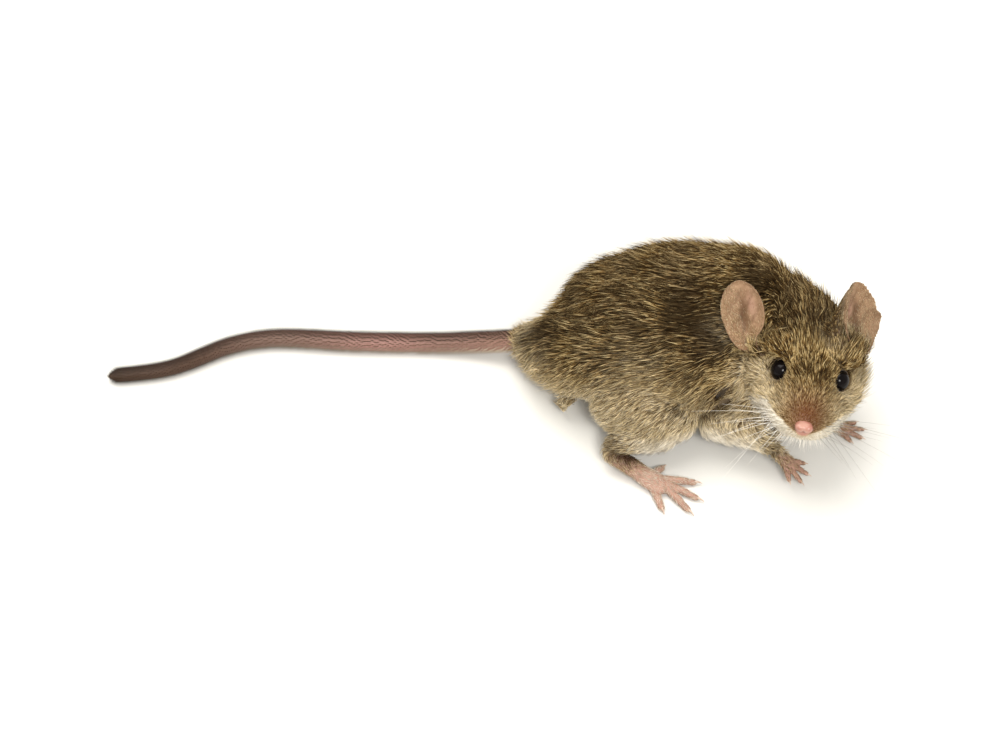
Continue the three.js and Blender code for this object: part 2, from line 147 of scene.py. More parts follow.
class Loft:
    """A closed body swept through stations [x, y, z, wide, up, down], its inset
    taken off every reach, with ends rounded over the domes' lengths."""

    def __init__(self, stations, rings=40, sides=32, domes=(0, 0), inset=0, level=False,
                 form=None, place=np.eye(4)):
        table = np.array(stations, float)
        table[:, 3:] -= np.broadcast_to(np.asarray(inset, float).reshape(-1, 1), (len(table), 3))
        last = len(table) - 1
        fine = np.linspace(0, last, 400)
        steps = np.linalg.norm(np.diff(between(table, fine)[:, :3], axis=0), axis=1)
        run = np.concatenate([[0], np.cumsum(steps)])
        even = np.linspace(0, 1, rings + 1)
        eased = (1 - np.cos(even * math.pi)) / 2
        crowding = 0.7 if any(domes) else 0
        length = run[-1] * (even * (1 - crowding) + eased * crowding)
        at = np.interp(length, run, fine)
        row = between(table, at)
        ahead = between(table, np.minimum(at + 0.02, last))[:, :3]
        along = ahead - between(table, np.maximum(at - 0.02, 0))[:, :3]
        if level:
            along[:, 2] = 0
        along = unit(along)
        left = unit(np.stack([-along[:, 1], along[:, 0], 0 * along[:, 0]], 1))
        rise = np.cross(along, left)
        start = domed(length / domes[0]) if domes[0] else np.ones(rings + 1)
        end = domed((run[-1] - length) / domes[1]) if domes[1] else np.ones(rings + 1)
        size = np.maximum(start * end, DOME_TIP)
        angle = np.arange(sides) / sides * 2 * math.pi
        wide = row[:, 3] * size
        reach = np.where(np.sin(angle) > 0, row[:, 4:5], row[:, 5:6]) * size[:, None]
        points = (row[:, None, :3] + left[:, None] * (wide[:, None] * np.cos(angle))[..., None]
                  + rise[:, None] * (reach * np.sin(angle))[..., None])
        points = points.reshape(-1, 3)
        middle = row[:, :3]
        if form:
            points = form(points)
        self.points = placed(np.concatenate([points, middle[[0, -1]]]), place)
        self.faces = tube_faces(rings + 1, sides)
        self.spine = placed(middle, place)
        self.spread = size * row[:, 3:].mean(1)
        self.flow = along @ place[:3, :3].T


def tube_faces(rings, sides):
    """triangles of a closed tube whose two poles come after its rings"""
    ring, side = np.meshgrid(np.arange(rings - 1), np.arange(sides), indexing="ij")
    a = (ring * sides + side).ravel()
    b = (ring * sides + (side + 1) % sides).ravel()
    c, d = a + sides, b + sides
    round_about = np.arange(sides)
    after = (round_about + 1) % sides
    base = (rings - 1) * sides
    first, final = rings * sides, rings * sides + 1
    start = np.stack([np.full(sides, first), after, round_about], 1)
    end = np.stack([np.full(sides, final), base + round_about, base + after], 1)
    return np.concatenate([np.stack([a, b, d], 1), np.stack([a, d, c], 1), start, end])


def joined(shapes):
    """(points, faces) of several shapes put together"""
    points, faces, count = [], [], 0
    for shape_points, shape_faces in shapes:
        points.append(shape_points)
        faces.append(shape_faces + count)
        count += len(shape_points)
    return np.concatenate(points), np.concatenate(faces)


# ----------------------------------------------------------- the parts of the body

# [x, y, z, wide, up, down] from the rump forward
TRUNK_LINE = [
    [3.8, 3.6, 5.2, 2.6, 3.1, 2.2], [7.2, 1.4, 6.6, 6.0, 5.5, 4.6],
    [10.8, 0.2, 8.8, 9.7, 8.4, 6.9], [15.0, -0.2, 10.8, 12.4, 10.8, 9.4],
    [20.5, -0.9, 12.2, 14.4, 12.0, 11.2], [26.0, -1.2, 12.8, 15.1, 13.3, 11.6],
    [32.5, -1.6, 12.6, 15.6, 14.7, 12.0], [38.0, 0.2, 12.0, 13.0, 14.9, 10.6],
    [42.5, 1.2, 12.0, 10.8, 12.9, 9.2], [48.2, 1.0, 12.2, 7.8, 8.8, 7.6],
]
# the front of the chest, low between the forelegs
CHEST_LINE = [
    [43.5, -3.0, 9.0, 5.2, 5.0, 5.4], [43.6, -9.5, 7.9, 5.0, 4.8, 4.8],
    [43.2, -17.4, 6.9, 3.6, 3.5, 3.4],
]
NECK_LINE = [
    [41.6, 1.2, 13.4, 9.6, 9.3, 8.4], [44.8, -1.0, 13.8, 9.4, 8.0, 8.2],
    [47.8, -3.6, 14.4, 8.8, 7.0, 7.8], [50.4, -6.8, 15.4, 8.4, 6.1, 7.2],
]
# the ruff of loose skin between the right cheek and the shoulder
RUFF_LINE = [
    [40.4, -8.2, 19.2, 3.0, 3.0, 3.0], [40.6, -9.7, 17.0, 3.4, 3.3, 3.3],
    [41.2, -11.1, 14.2, 3.8, 3.5, 3.5], [41.8, -12.4, 11.2, 3.7, 3.4, 3.4],
    [42.4, -14.4, 8.8, 2.9, 2.8, 2.8],
]
# the small point of fur under the rump
VENT_LINE = [[12.0, -7.0, 5.0, 1.5, 1.5, 1.5], [10.6, -8.7, 3.6, 0.5, 0.5, 0.5],
             [9.3, -9.6, 2.8, 0.22, 0.22, 0.22]]
# swellings of the head: in front of each ear, and the right cheek's loose fold
HEAD_SWELLS = [
    [[45.2, -13.2, 18.6, 3.2, 3.2, 3.2], [42.6, -12.2, 22.9, 2.0, 2.0, 2.0]],
    [[53.0, -13.2, 18.6, 3.2, 3.2, 3.2], [55.3, -11.2, 21.3, 1.9, 1.9, 1.9]],
    [[44.0, -12.4, 18.6, 3.2, 3.2, 3.2], [41.3, -12.0, 16.6, 3.1, 3.1, 3.1],
     [41.6, -13.0, 13.4, 2.4, 2.4, 2.4]],
]
# in the head's frame, from the nape to the muzzle
HEAD_LINE = [
    [-14.0, 0, 0.6, 5.4, 5.4, 5.2], [-11.0, -0.45, 0.0, 7.75, 7.0, 6.8],
    [-7.4, -0.6, -1.0, 8.9, 8.2, 7.2], [-3.7, -0.6, -1.8, 9.0, 8.2, 6.6],
    [0.0, -0.35, -2.2, 8.35, 7.5, 5.8], [2.8, 0, -2.5, 7.2, 6.4, 4.8],
    [5.4, 0, -2.8, 5.8, 5.1, 3.9], [7.8, 0, -3.0, 4.3, 3.7, 3.0],
    [10.2, 0, -3.0, 2.3, 2.1, 1.9],
]
HEAD_INSET = [1.1, 1.1, 1.0, 0.9, 0.7, 0.6, 0.45, 0.35, 0.25]  # the coat's depth there
LEGS = {
    "thigh_right": [[16.0, -9.0, 7.4, 4.6, 5.6, 5.0], [20.0, -12.2, 8.0, 6.2, 7.0, 6.4],
                    [25.0, -14.0, 7.8, 6.6, 7.0, 6.4], [31.6, -14.4, 6.9, 4.1, 4.3, 4.0]],
    "shank_right": [[28.2, -16.7, 5.8, 2.9, 3.1, 3.1], [23.2, -17.6, 5.4, 2.7, 3.1, 2.9],
                    [19.4, -18.2, 4.8, 2.2, 2.3, 2.2], [17.0, -18.3, 4.2, 1.7, 1.7, 1.7]],
    "thigh_left": [[19.0, 4.6, 8.0, 4.6, 5.6, 5.4], [23.4, 7.0, 8.6, 6.0, 6.8, 6.6],
                   [28.4, 8.2, 8.2, 5.6, 6.2, 6.0], [33.4, 8.8, 6.8, 3.8, 4.4, 4.4]],
    "shank_left": [[31.2, 9.8, 5.8, 3.0, 3.2, 3.2], [25.8, 10.6, 5.2, 2.6, 3.0, 2.8],
                   [21.6, 10.6, 4.6, 2.0, 2.2, 2.2], [19.2, 10.4, 4.0, 1.5, 1.6, 1.6]],
    "arm_right": [[41.0, -9.4, 10.8, 4.8, 5.4, 5.0], [38.0, -12.6, 9.0, 4.4, 5.0, 4.6],
                  [36.4, -15.2, 7.2, 3.2, 3.6, 3.4]],
    "forearm_right": [[32.7, -13.9, 6.1, 3.5, 3.4, 3.6], [39.9, -17.7, 6.6, 2.5, 2.7, 2.5],
                      [42.9, -19.4, 5.8, 1.8, 1.9, 1.8], [44.6, -20.5, 5.2, 1.3, 1.35, 1.3]],
    "arm_left": [[50.4, -3.6, 11.0, 4.2, 4.8, 4.4], [49.6, -5.6, 8.4, 3.8, 4.2, 3.8],
                 [49.2, -7.2, 6.2, 2.8, 3.0, 2.8]],
    "forearm_left": [[49.0, -7.4, 6.2, 2.7, 2.9, 2.7], [51.2, -9.4, 4.2, 2.2, 2.2, 2.1],
                     [53.0, -10.9, 2.7, 1.6, 1.6, 1.6], [54.2, -11.6, 1.7, 1.2, 1.2, 1.2]],
}
# over how much of its upper end each is rounded, and how deep its coat is
LEG_FORMS = {"thigh": (4, 1.1), "shank": (2.4, 0.6), "arm": (4, 0.9), "forearm": (2.4, 0.6)}
# the frame of each foot, and 1 or -1 for the side that its first toe is on
FEET = {
    "hind_foot_right": (frame_of((17.4, -18.9, 0), -29), 1),
    "hind_foot_left": (frame_of((19.5, 10.2, 0), 14), -1),
    "forepaw_right": (frame_of((44.5, -20.4, 3.8), -36, -20, 10), 1),
    "forepaw_left": (frame_of((53.7, -11.4, 0), -15), 1),
}
# (x, y, angle, length) of each toe in the foot's frame
HIND_TOES = [(7.4, 0.9, 72, 3.5), (10.3, 1.4, 25, 5.4), (10.9, 0.5, 0, 6.3),
             (11.0, -0.4, -22, 6.5), (9.0, -1.4, -43, 5.1)]
FINGERS = [(2.2, 0.9, 34, 2.7), (2.9, 0.4, 12, 3.3), (2.9, -0.4, -10, 3.3), (2.2, -0.9, -34, 2.7)]
HIND_SOLE = [
    [-0.6, 0, 3.4, 1.4, 1.5, 1.4], [1.4, 0, 2.8, 1.5, 1.4, 1.4],
    [5.2, -0.1, 1.8, 1.55, 1.3, 1.3], [8.4, -0.3, 1.15, 1.85, 1.2, 1.25],
    [11.2, 0.0, 0.85, 1.75, 0.9, 1.0],
]
PALM = [
    [-0.8, 0, 1.35, 1.0, 0.95, 0.95], [0.8, 0, 1.05, 1.1, 0.95, 0.95],
    [2.2, 0, 0.8, 1.4, 0.85, 0.9], [3.4, 0, 0.6, 1.2, 0.6, 0.7],
]
# how tall and half how wide each ear is, its root, the way it stands, the way its
# hollow faces, and which side of it is the outer one
EARS = {
    "ear_right": (10.4, 3.5, (39.4, -12.4, 22.5), (-0.21, 0.58, 0.79), (-0.28, -0.6, 0.75), -1),
    "ear_left": (11.4, 3.8, (56.2, -10.7, 18.8), (-0.02, 0.51, 0.86), (0.66, -0.5, 0.52), 1),
}
# the folded front edge of the left ear, in the ear's own frame
EAR_FOLD = [
    [-0.5, -3.0, -1.4, 1.9, 1.7, 1.7], [-0.3, -4.4, 2.4, 1.5, 1.4, 1.4],
    [-0.1, -4.4, 5.4, 0.9, 0.85, 0.85], [0.1, -3.2, 8.6, 0.45, 0.45, 0.45],
    [0.2, -1.6, 10.6, 0.25, 0.25, 0.25],
]
# the uneven edge of an ear: (height, reach, how far it stands out)
EAR_NOTCHES = {
    "ear_left": [(0.43, 0.10, 1.05), (0.57, 0.07, -0.3), (0.26, 0.13, 0.85), (0.82, 0.13, -0.6)],
    "ear_right": [],
}

# the middle of the tail, from its root to its tip
TAIL_PLAN = [
    [7.0, 2.4, 5.6], [3.3, 3.7, 4.4], [-3.3, 5.1, 2.5], [-11.0, 5.8, 0], [-24.0, 6.1, 0],
    [-38.3, 6.8, 0], [-44.8, 5.3, 0], [-54.5, 0.5, 0], [-64.6, -1.2, 0],
]
TAIL_RADII = ((0, 1.58), (0.5, 1.44), (1, 1.12))  # (share of the way, radius)
TAIL_FLAT = 0.05  # share of its radius that the floor flattens
TAIL_STEPS = 300


def tail_radius(part):
    places, radii = zip(*TAIL_RADII)
    return np.interp(part, places, radii)


def tail_line():
    """evenly spaced points down the middle of the tail, and each one's share of the way"""
    plan = np.array(TAIL_PLAN, float)
    lowest = tail_radius(np.linspace(0, 1, len(plan))) * (1 - TAIL_FLAT)
    plan[:, 2] = np.maximum(plan[:, 2], lowest)
    ends = np.concatenate([[2 * plan[0] - plan[1]], plan, [2 * plan[-1] - plan[-2]]])
    fine = []
    for i in range(1, len(plan)):
        x0, x1, x2, x3 = ends[i - 1:i + 3]
        d0, d1, d2 = (math.sqrt(np.linalg.norm(b - a)) for a, b in ((x0, x1), (x1, x2), (x2, x3)))
        t1 = ((x1 - x0) / d0 - (x2 - x0) / (d0 + d1) + (x2 - x1) / d1) * d1
        t2 = ((x2 - x1) / d1 - (x3 - x1) / (d1 + d2) + (x3 - x2) / d2) * d1
        t = np.linspace(0, 1, 60, endpoint=False)[:, None]
        c2, c3 = -3 * x1 + 3 * x2 - 2 * t1 - t2, 2 * x1 - 2 * x2 + t1 + t2
        fine.append(x1 + t1 * t + c2 * t**2 + c3 * t**3)
    fine = np.concatenate(fine + [plan[-1:]])
    run = np.concatenate([[0], np.cumsum(np.linalg.norm(np.diff(fine, axis=0), axis=1))])
    part = np.linspace(0, 1, TAIL_STEPS + 1)
    points = np.stack([np.interp(part * run[-1], run, fine[:, k]) for k in range(3)], 1)
    return points, part


TAIL_POINTS, TAIL_PARTS = tail_line()
TAIL_BACK = np.array([0.0, 0.62, 0.78])  # the way its dark back faces


def tail_traits(points):
    """each point's share of the way down the tail, and how near it is to the tail's back"""
    away = np.linalg.norm(points[:, None, :2] - TAIL_POINTS[None, ::4, :2], axis=2)
    nearest = away.argmin(1) * 4
    return TAIL_PARTS[nearest], 0.5 + 0.5 * unit(points - TAIL_POINTS[nearest]) @ TAIL_BACK


# soft swells and dips of the face, twinned: [x, y, z, reach, height]
FACE_SWELLS = [
    [7.2, 3.0, -4.2, 2.4, 0.5],  # whisker pad
    [3.0, 4.4, 1.0, 2.6, -0.7],  # dip in front of the eye
    [-0.6, 5.6, 0.6, 2.4, -0.5],  # socket
    [-2.0, 4.6, 5.2, 2.6, 0.3],  # brow
    [-5.0, 9.0, -3.4, 4.2, 0.5],  # cheek
]
BROW_LEVEL = -1.5  # the head narrows above this level
BROW_PINCH = 0.042  # by this share for each millimetre


def face_form(points):
    """the head's own swells and dips, and the narrowing of its top"""
    points = points.copy()
    above = np.maximum(points[:, 2] - BROW_LEVEL, 0)
    points[:, 1] *= 1 - BROW_PINCH * above * smooth(points[:, 0], -9, 1)
    middle = np.stack([points[:, 0], 0 * above, np.full(len(points), BROW_LEVEL)], 1)
    outwards = unit(points - middle)
    for x, y, z, reach, height in FACE_SWELLS:
        for side in (-1, 1):
            points += outwards * (height * bump(points, (x, side * y, z), reach))[:, None]
    return points


class Ear:
    """A cupped leaf with a soft rim and folds inside; +Z runs from root to tip and the
    hollow faces +X in the ear's own frame."""

    ROWS, STEPS = 50, 26
    WIDEST = 0.54
    SUNK = -0.16  # the share of its height that the root goes into the head
    LOBE = -0.1  # how far down its outer side is round

    def __init__(self, name):
        self.tall, self.half_width, root, stands, faces, self.outer_side = EARS[name]
        self.notches = EAR_NOTCHES[name]
        up = unit(stands)
        across = unit(np.cross(up, faces))
        front = np.cross(across, up)
        self.place = np.eye(4)
        self.place[:3, :3] = np.stack([front, across, up], 1)
        self.place[:3, 3] = root
        even = np.linspace(0, 1, self.ROWS + 1)
        height = (0.35 * even + 0.65 * np.sin(even * math.pi / 2))[:, None]
        height = height * (1 - self.SUNK) + self.SUNK
        side_way = np.linspace(0, 1, self.STEPS + 1)
        across_way = -np.cos(side_way * math.pi)[None, :]
        self.inner = self.sheet(height, across_way, 1)
        self.outer = self.sheet(height, across_way, -1)
        lobe = (height > self.LOBE) & (self.outer_side * across_way > 0.3)
        self.free = np.flatnonzero((lobe | (height + 0 * across_way > 0.08)).ravel())

    def sheet(self, height, across, face):
        """one face of the leaf: 1 for the hollow one and -1 for the back"""
        oval = np.sqrt(np.maximum(1 - ((height - self.WIDEST) / (1 - self.WIDEST)) ** 2, 0))
        low = (height - self.WIDEST) / (self.WIDEST - self.LOBE)
        lobe = np.where(height < self.WIDEST, np.sqrt(np.maximum(1 - low**2, 0)), oval)
        stem = 0.42 * (1 - height) * (0.55 + 0.45 * smooth(height, -0.14, 0.08))
        oval = np.where(height < self.WIDEST, np.maximum(oval, stem), oval)
        outer_half = smooth(self.outer_side * across, -0.3, 0.4)
        oval = oval + (np.maximum(lobe, 0.5 * stem) - oval) * outer_half
        wide = self.half_width * np.maximum(oval, 0.02)
        cup = EAR_CUP * (1 - height) + 0.9 * height * oval
        thick = 0.27 + 0.4 * (1 - height) ** 2
        rim = np.sqrt(np.maximum(1 - 0.75 * across**2, 0)) * np.clip(4 * oval, 0.6, 1)
        hollow = cup * (0.9 * across**2 - 0.3)
        curl = 0.35 * smooth(np.abs(across), 0.72, 1) * smooth(height, 0.25, 0.6)
        folds = 0.3 * np.exp(-((across - 0.25 - 0.5 * (height - 0.4)) / 0.16) ** 2)
        folds = folds * smooth(height, 0.12, 0.3) * (1 - smooth(height, 0.6, 0.85))
        dimple = -0.6 * np.exp(-((across + 0.15) / 0.3) ** 2 - ((height - 0.34) / 0.16) ** 2)
        wrinkles = 0.06 * np.sin(38 * height + 3 * across) * smooth(height, 0.5, 0.7)
        wrinkles = wrinkles + 0.07 * np.sin(21 * height - 9 * across) * smooth(height, 0.2, 0.4)
        wrinkles = wrinkles * (1 - across**2) * (1 - smooth(height, 0.85, 1))
        relief = wrinkles + (folds + dimple) * (1 if face > 0 else 0.4)
        depth = hollow + curl + relief + face * thick * rim
        aside = wide * across
        for place, reach, out in self.notches:
            aside = aside + out * np.exp(-((height - place) / reach) ** 2) * np.clip(across, 0, 1)
        points = np.stack(np.broadcast_arrays(depth, aside, height * self.tall), -1)
        return placed(points.reshape(-1, 3), self.place)

    def shape(self):
        """the leaf as one closed body"""
        columns = self.STEPS + 1
        rows = self.ROWS + 1
        grid = np.arange(rows * columns).reshape(rows, columns)
        back = grid + rows * columns
        points = np.concatenate([self.inner, self.outer])

        def skin(g, turned):
            quads = np.stack([g[:-1, :-1], g[:-1, 1:], g[1:, 1:], g[1:, :-1]], -1).reshape(-1, 4)
            if turned:
                quads = quads[:, ::-1]
            return np.concatenate([quads[:, [0, 1, 2]], quads[:, [0, 2, 3]]])

        loop = np.concatenate([grid[0], grid[1:, -1], grid[-1, -2::-1], grid[-2:0:-1, 0]])
        other = loop + rows * columns
        after, other_after = np.roll(loop, -1), np.roll(other, -1)
        rim = np.concatenate([np.stack([loop, other, other_after], 1),
                              np.stack([loop, other_after, after], 1)])
        return points, np.concatenate([skin(grid, False), skin(back, True), rim])


def toe_stations(toe, radius, rise, drop, mirror, parts):
    """stations along a toe or its claw, in the foot's frame"""
    x, y, angle, length = toe
    turn = math.radians(angle)
    rows = []
    for part, lift, size in parts:
        forward = x + math.cos(turn) * length * part
        aside = y + math.sin(turn) * length * part
        height = rise + lift * radius - drop * part
        rows.append([forward, mirror * aside, height] + [size * radius] * 3)
    return rows


# (share of the toe's length, its lift and its size as shares of the toe's radius)
TOE_PARTS = [(-0.15, 0.1, 1.1), (0.2, 0.3, 0.86), (0.4, 0.25, 0.9), (0.56, 0.05, 0.74),
             (0.72, -0.05, 0.74), (0.84, -0.1, 0.52)]
CLAW_PARTS = [(0.74, 0.2, 0.3), (0.85, 0.25, 0.22), (0.94, 0.08, 0.14), (1.0, -0.25, 0.05)]


def foot_lofts(name):
    """(flesh lofts, claw lofts) of a foot"""
    place, mirror = FEET[name]
    hind = name.startswith("hind")
    toes, radius = (HIND_TOES, TOE_RADIUS) if hind else (FINGERS, FINGER_RADIUS)
    rise, drop = (0.62, 0.1) if hind else (0.42, 0.05)
    sole = [[x, mirror * y] + rest for x, y, *rest in (HIND_SOLE if hind else PALM)]
    domes = (1.2, 1.2) if hind else (0.8, 0.8)
    flesh = [Loft(sole, 30, 24, domes, inset=0.08, place=place)]
    claws = []
    for toe in toes:
        line = toe_stations(toe, radius, rise, drop, mirror, TOE_PARTS)
        flesh.append(Loft(line, 26, 16, (0.4, 0.5), place=place))
        line = toe_stations(toe, radius, rise, drop, mirror, CLAW_PARTS)
        claws.append(Loft(line, 10, 10, (0, 0.2), place=place))
    return flesh, claws


def body_parts():
    """every flesh loft by name, with the way its fur runs: 1 along it, -1 against it"""
    head = Loft(HEAD_LINE, 60, 48, (4, 1.2), HEAD_INSET, form=face_form, place=HEAD)
    parts = {
        "trunk": [(Loft(TRUNK_LINE, 70, 64, (1.6, 6), 1.25, level=True), -1)],
        "chest": [(Loft(CHEST_LINE, 24, 36, (3, 2.8), 0.8), -1)],
        "neck": [(Loft(NECK_LINE, 30, 48, (3, 3), 1.2), -1)],
        "ruff": [(Loft(RUFF_LINE, 24, 32, (2, 2), 0.3), -1)],
        "vent": [(Loft(VENT_LINE, 24, 24, (1, 0.4)), 1)],
        "head": [(head, -1)] + [(Loft(line, 20, 28, (2, 1.8)), -1) for line in HEAD_SWELLS],
    }
    for name, line in LEGS.items():
        rounded, inset = LEG_FORMS[name.split("_")[0]]
        parts[name] = [(Loft(line, 30, 32, (rounded, 1.5), inset), 1)]
    for name in FEET:
        parts[name] = [(toe, 1) for toe in foot_lofts(name)[0]]
    line = np.concatenate([TAIL_POINTS, np.repeat(tail_radius(TAIL_PARTS)[:, None], 3, 1)], 1)
    parts["tail"] = [(Loft(line[::4], 200, 24, (0, 3.4), 0.05), 1)]
    return parts


# ------------------------------------------------------------------ mesh helpers


def mesh_of(name, points, faces, scale=MM, shift=SHIFT):
    """a mesh of equal-sided faces, moved to the row frame"""
    mesh = bpy.data.meshes.new(name)
    sides = faces.shape[1]
    mesh.vertices.add(len(points))
    mesh.vertices.foreach_set("co", ((points + shift) * scale).astype(np.float32).ravel())
    mesh.loops.add(faces.size)
    mesh.loops.foreach_set("vertex_index", faces.astype(np.int32).ravel())
    mesh.polygons.add(len(faces))
    mesh.polygons.foreach_set("loop_start", np.arange(0, faces.size, sides, dtype=np.int32))
    mesh.update(calc_edges=True)
    mesh.shade_smooth()
    return mesh


def add_object(name, mesh):
    piece = bpy.data.objects.new(name, mesh)
    bpy.context.scene.collection.objects.link(piece)
    return piece


def evaluated_mesh(piece):
    """the piece's mesh with its modifiers applied, as a mesh of its own"""
    graph = bpy.context.evaluated_depsgraph_get()
    return bpy.data.meshes.new_from_object(piece.evaluated_get(graph), depsgraph=graph)


def set_attribute(mesh, name, values):
    """a number or a colour on each point"""
    kind = "FLOAT_COLOR" if values.ndim == 2 else "FLOAT"
    field = "color" if values.ndim == 2 else "value"
    attribute = mesh.attributes.new(name, kind, "POINT")
    attribute.data.foreach_set(field, values.astype(np.float32).ravel())


def points_of(mesh):
    flat = np.empty(len(mesh.vertices) * 3, np.float32)
    mesh.vertices.foreach_get("co", flat)
    return flat.reshape(-1, 3).astype(float)


def triangles_of(mesh):
    mesh.calc_loop_triangles()
    flat = np.empty(len(mesh.loop_triangles) * 3, np.int32)
    mesh.loop_triangles.foreach_get("vertices", flat)
    return flat.reshape(-1, 3)


def edges_of(mesh):
    flat = np.empty(len(mesh.edges) * 2, np.int32)
    mesh.edges.foreach_get("vertices", flat)
    return flat.reshape(-1, 2)


def normals_of(points, triangles):
    """smooth normals of the points"""
    corner = points[triangles]
    face = np.cross(corner[:, 1] - corner[:, 0], corner[:, 2] - corner[:, 0])
    total = np.zeros_like(points)
    for k in range(3):
        for axis in range(3):
            total[:, axis] += np.bincount(triangles[:, k], face[:, axis], len(points))
    return unit(total)


def relaxed(points, edges, weight, rounds):
    """the points drawn towards their neighbours' middle, each by its weight"""
    count = np.bincount(edges.ravel(), minlength=len(points))
    step = (0.5 * weight / np.maximum(count, 1))[:, None]
    for _ in range(rounds):
        total = np.empty_like(points)
        for axis in range(3):
            row = np.ascontiguousarray(points[:, axis])
            total[:, axis] = np.bincount(edges[:, 0], row[edges[:, 1]], len(points))
            total[:, axis] += np.bincount(edges[:, 1], row[edges[:, 0]], len(points))
        points = points + step * (total - count[:, None] * points)
    return points


def remeshed(points, faces, voxel):
    """one closed surface round overlapping closed bodies"""
    piece = add_object("flesh", mesh_of("flesh", points, faces, 1, 0))
    remesh = piece.modifiers.new("skin", "REMESH")
    remesh.mode = "VOXEL"
    remesh.voxel_size = voxel
    whole = evaluated_mesh(piece)
    bpy.data.objects.remove(piece)
    return whole


def thinned(mesh, weight, faces):
    """the mesh with about that many triangles, fewest where the weight is 1"""
    piece = add_object("flesh", mesh)
    group = piece.vertex_groups.new(name="plain")
    for step in range(1, 11):
        chosen = np.flatnonzero(np.round(weight * 10) == step)
        group.add(chosen.tolist(), step / 10, "REPLACE")
    thin = piece.modifiers.new("thin", "DECIMATE")
    thin.ratio = faces / len(triangles_of(mesh))
    thin.vertex_group = group.name
    less = evaluated_mesh(piece)
    bpy.data.objects.remove(piece)
    bpy.data.meshes.remove(mesh)
    return less


# ------------------------------------------------------------- zones of the body


class Spines:
    """sample points down the middle of each part, with its radius and fur's way there"""

    def __init__(self, parts, ears):
        self.names, self.samples = [], []
        for name, lofts in parts.items():
            count = {"tail": 40, "trunk": 26}.get(name, 5 if name in FEET else 14)
            for loft, way in lofts:
                keep = np.unique(np.linspace(1, len(loft.spine) - 2, count).astype(int))
                self.add(name, loft.spine[keep], loft.spread[keep], loft.flow[keep] * way)
        for name, ear in ears.items():
            middle = ((ear.inner + ear.outer) / 2)[ear.free[::11]]
            upwards = np.repeat(ear.place[None, :3, 2], len(middle), 0)
            self.add(name, middle, np.full(len(middle), 0.3), upwards)

    def add(self, name, points, radii, flows):
        if name not in self.names:
            self.names.append(name)
            self.samples.append([points, radii, flows])
            return
        rows = self.samples[self.names.index(name)]
        for k, more in enumerate((points, radii, flows)):
            rows[k] = np.concatenate([rows[k], more])

    def measure(self, points):
        """how far each point is from each part's surface, and that part's flow there"""
        gaps, flows = {}, {}
        points = points.astype(np.float32)
        for name, (spine, radii, flow) in zip(self.names, self.samples):
            gap = np.full(len(points), np.inf, np.float32)
            nearest = np.zeros(len(points), int)
            for k, (place, radius) in enumerate(zip(spine.astype(np.float32), radii)):
                away = points - place
                away = np.sqrt((away * away).sum(1)) - np.float32(radius)
                closer = away < gap
                gap[closer] = away[closer]
                nearest[closer] = k
            gaps[name] = gap.astype(float)
            flows[name] = flow[nearest]
        return gaps, flows


NOSE = np.array([10.7, 0.0, -2.8])  # middle of the bare pad, in the head's frame
FUR_FRONT = np.array([11.2, 0.0, -2.6])  # where the fur of the head spreads from


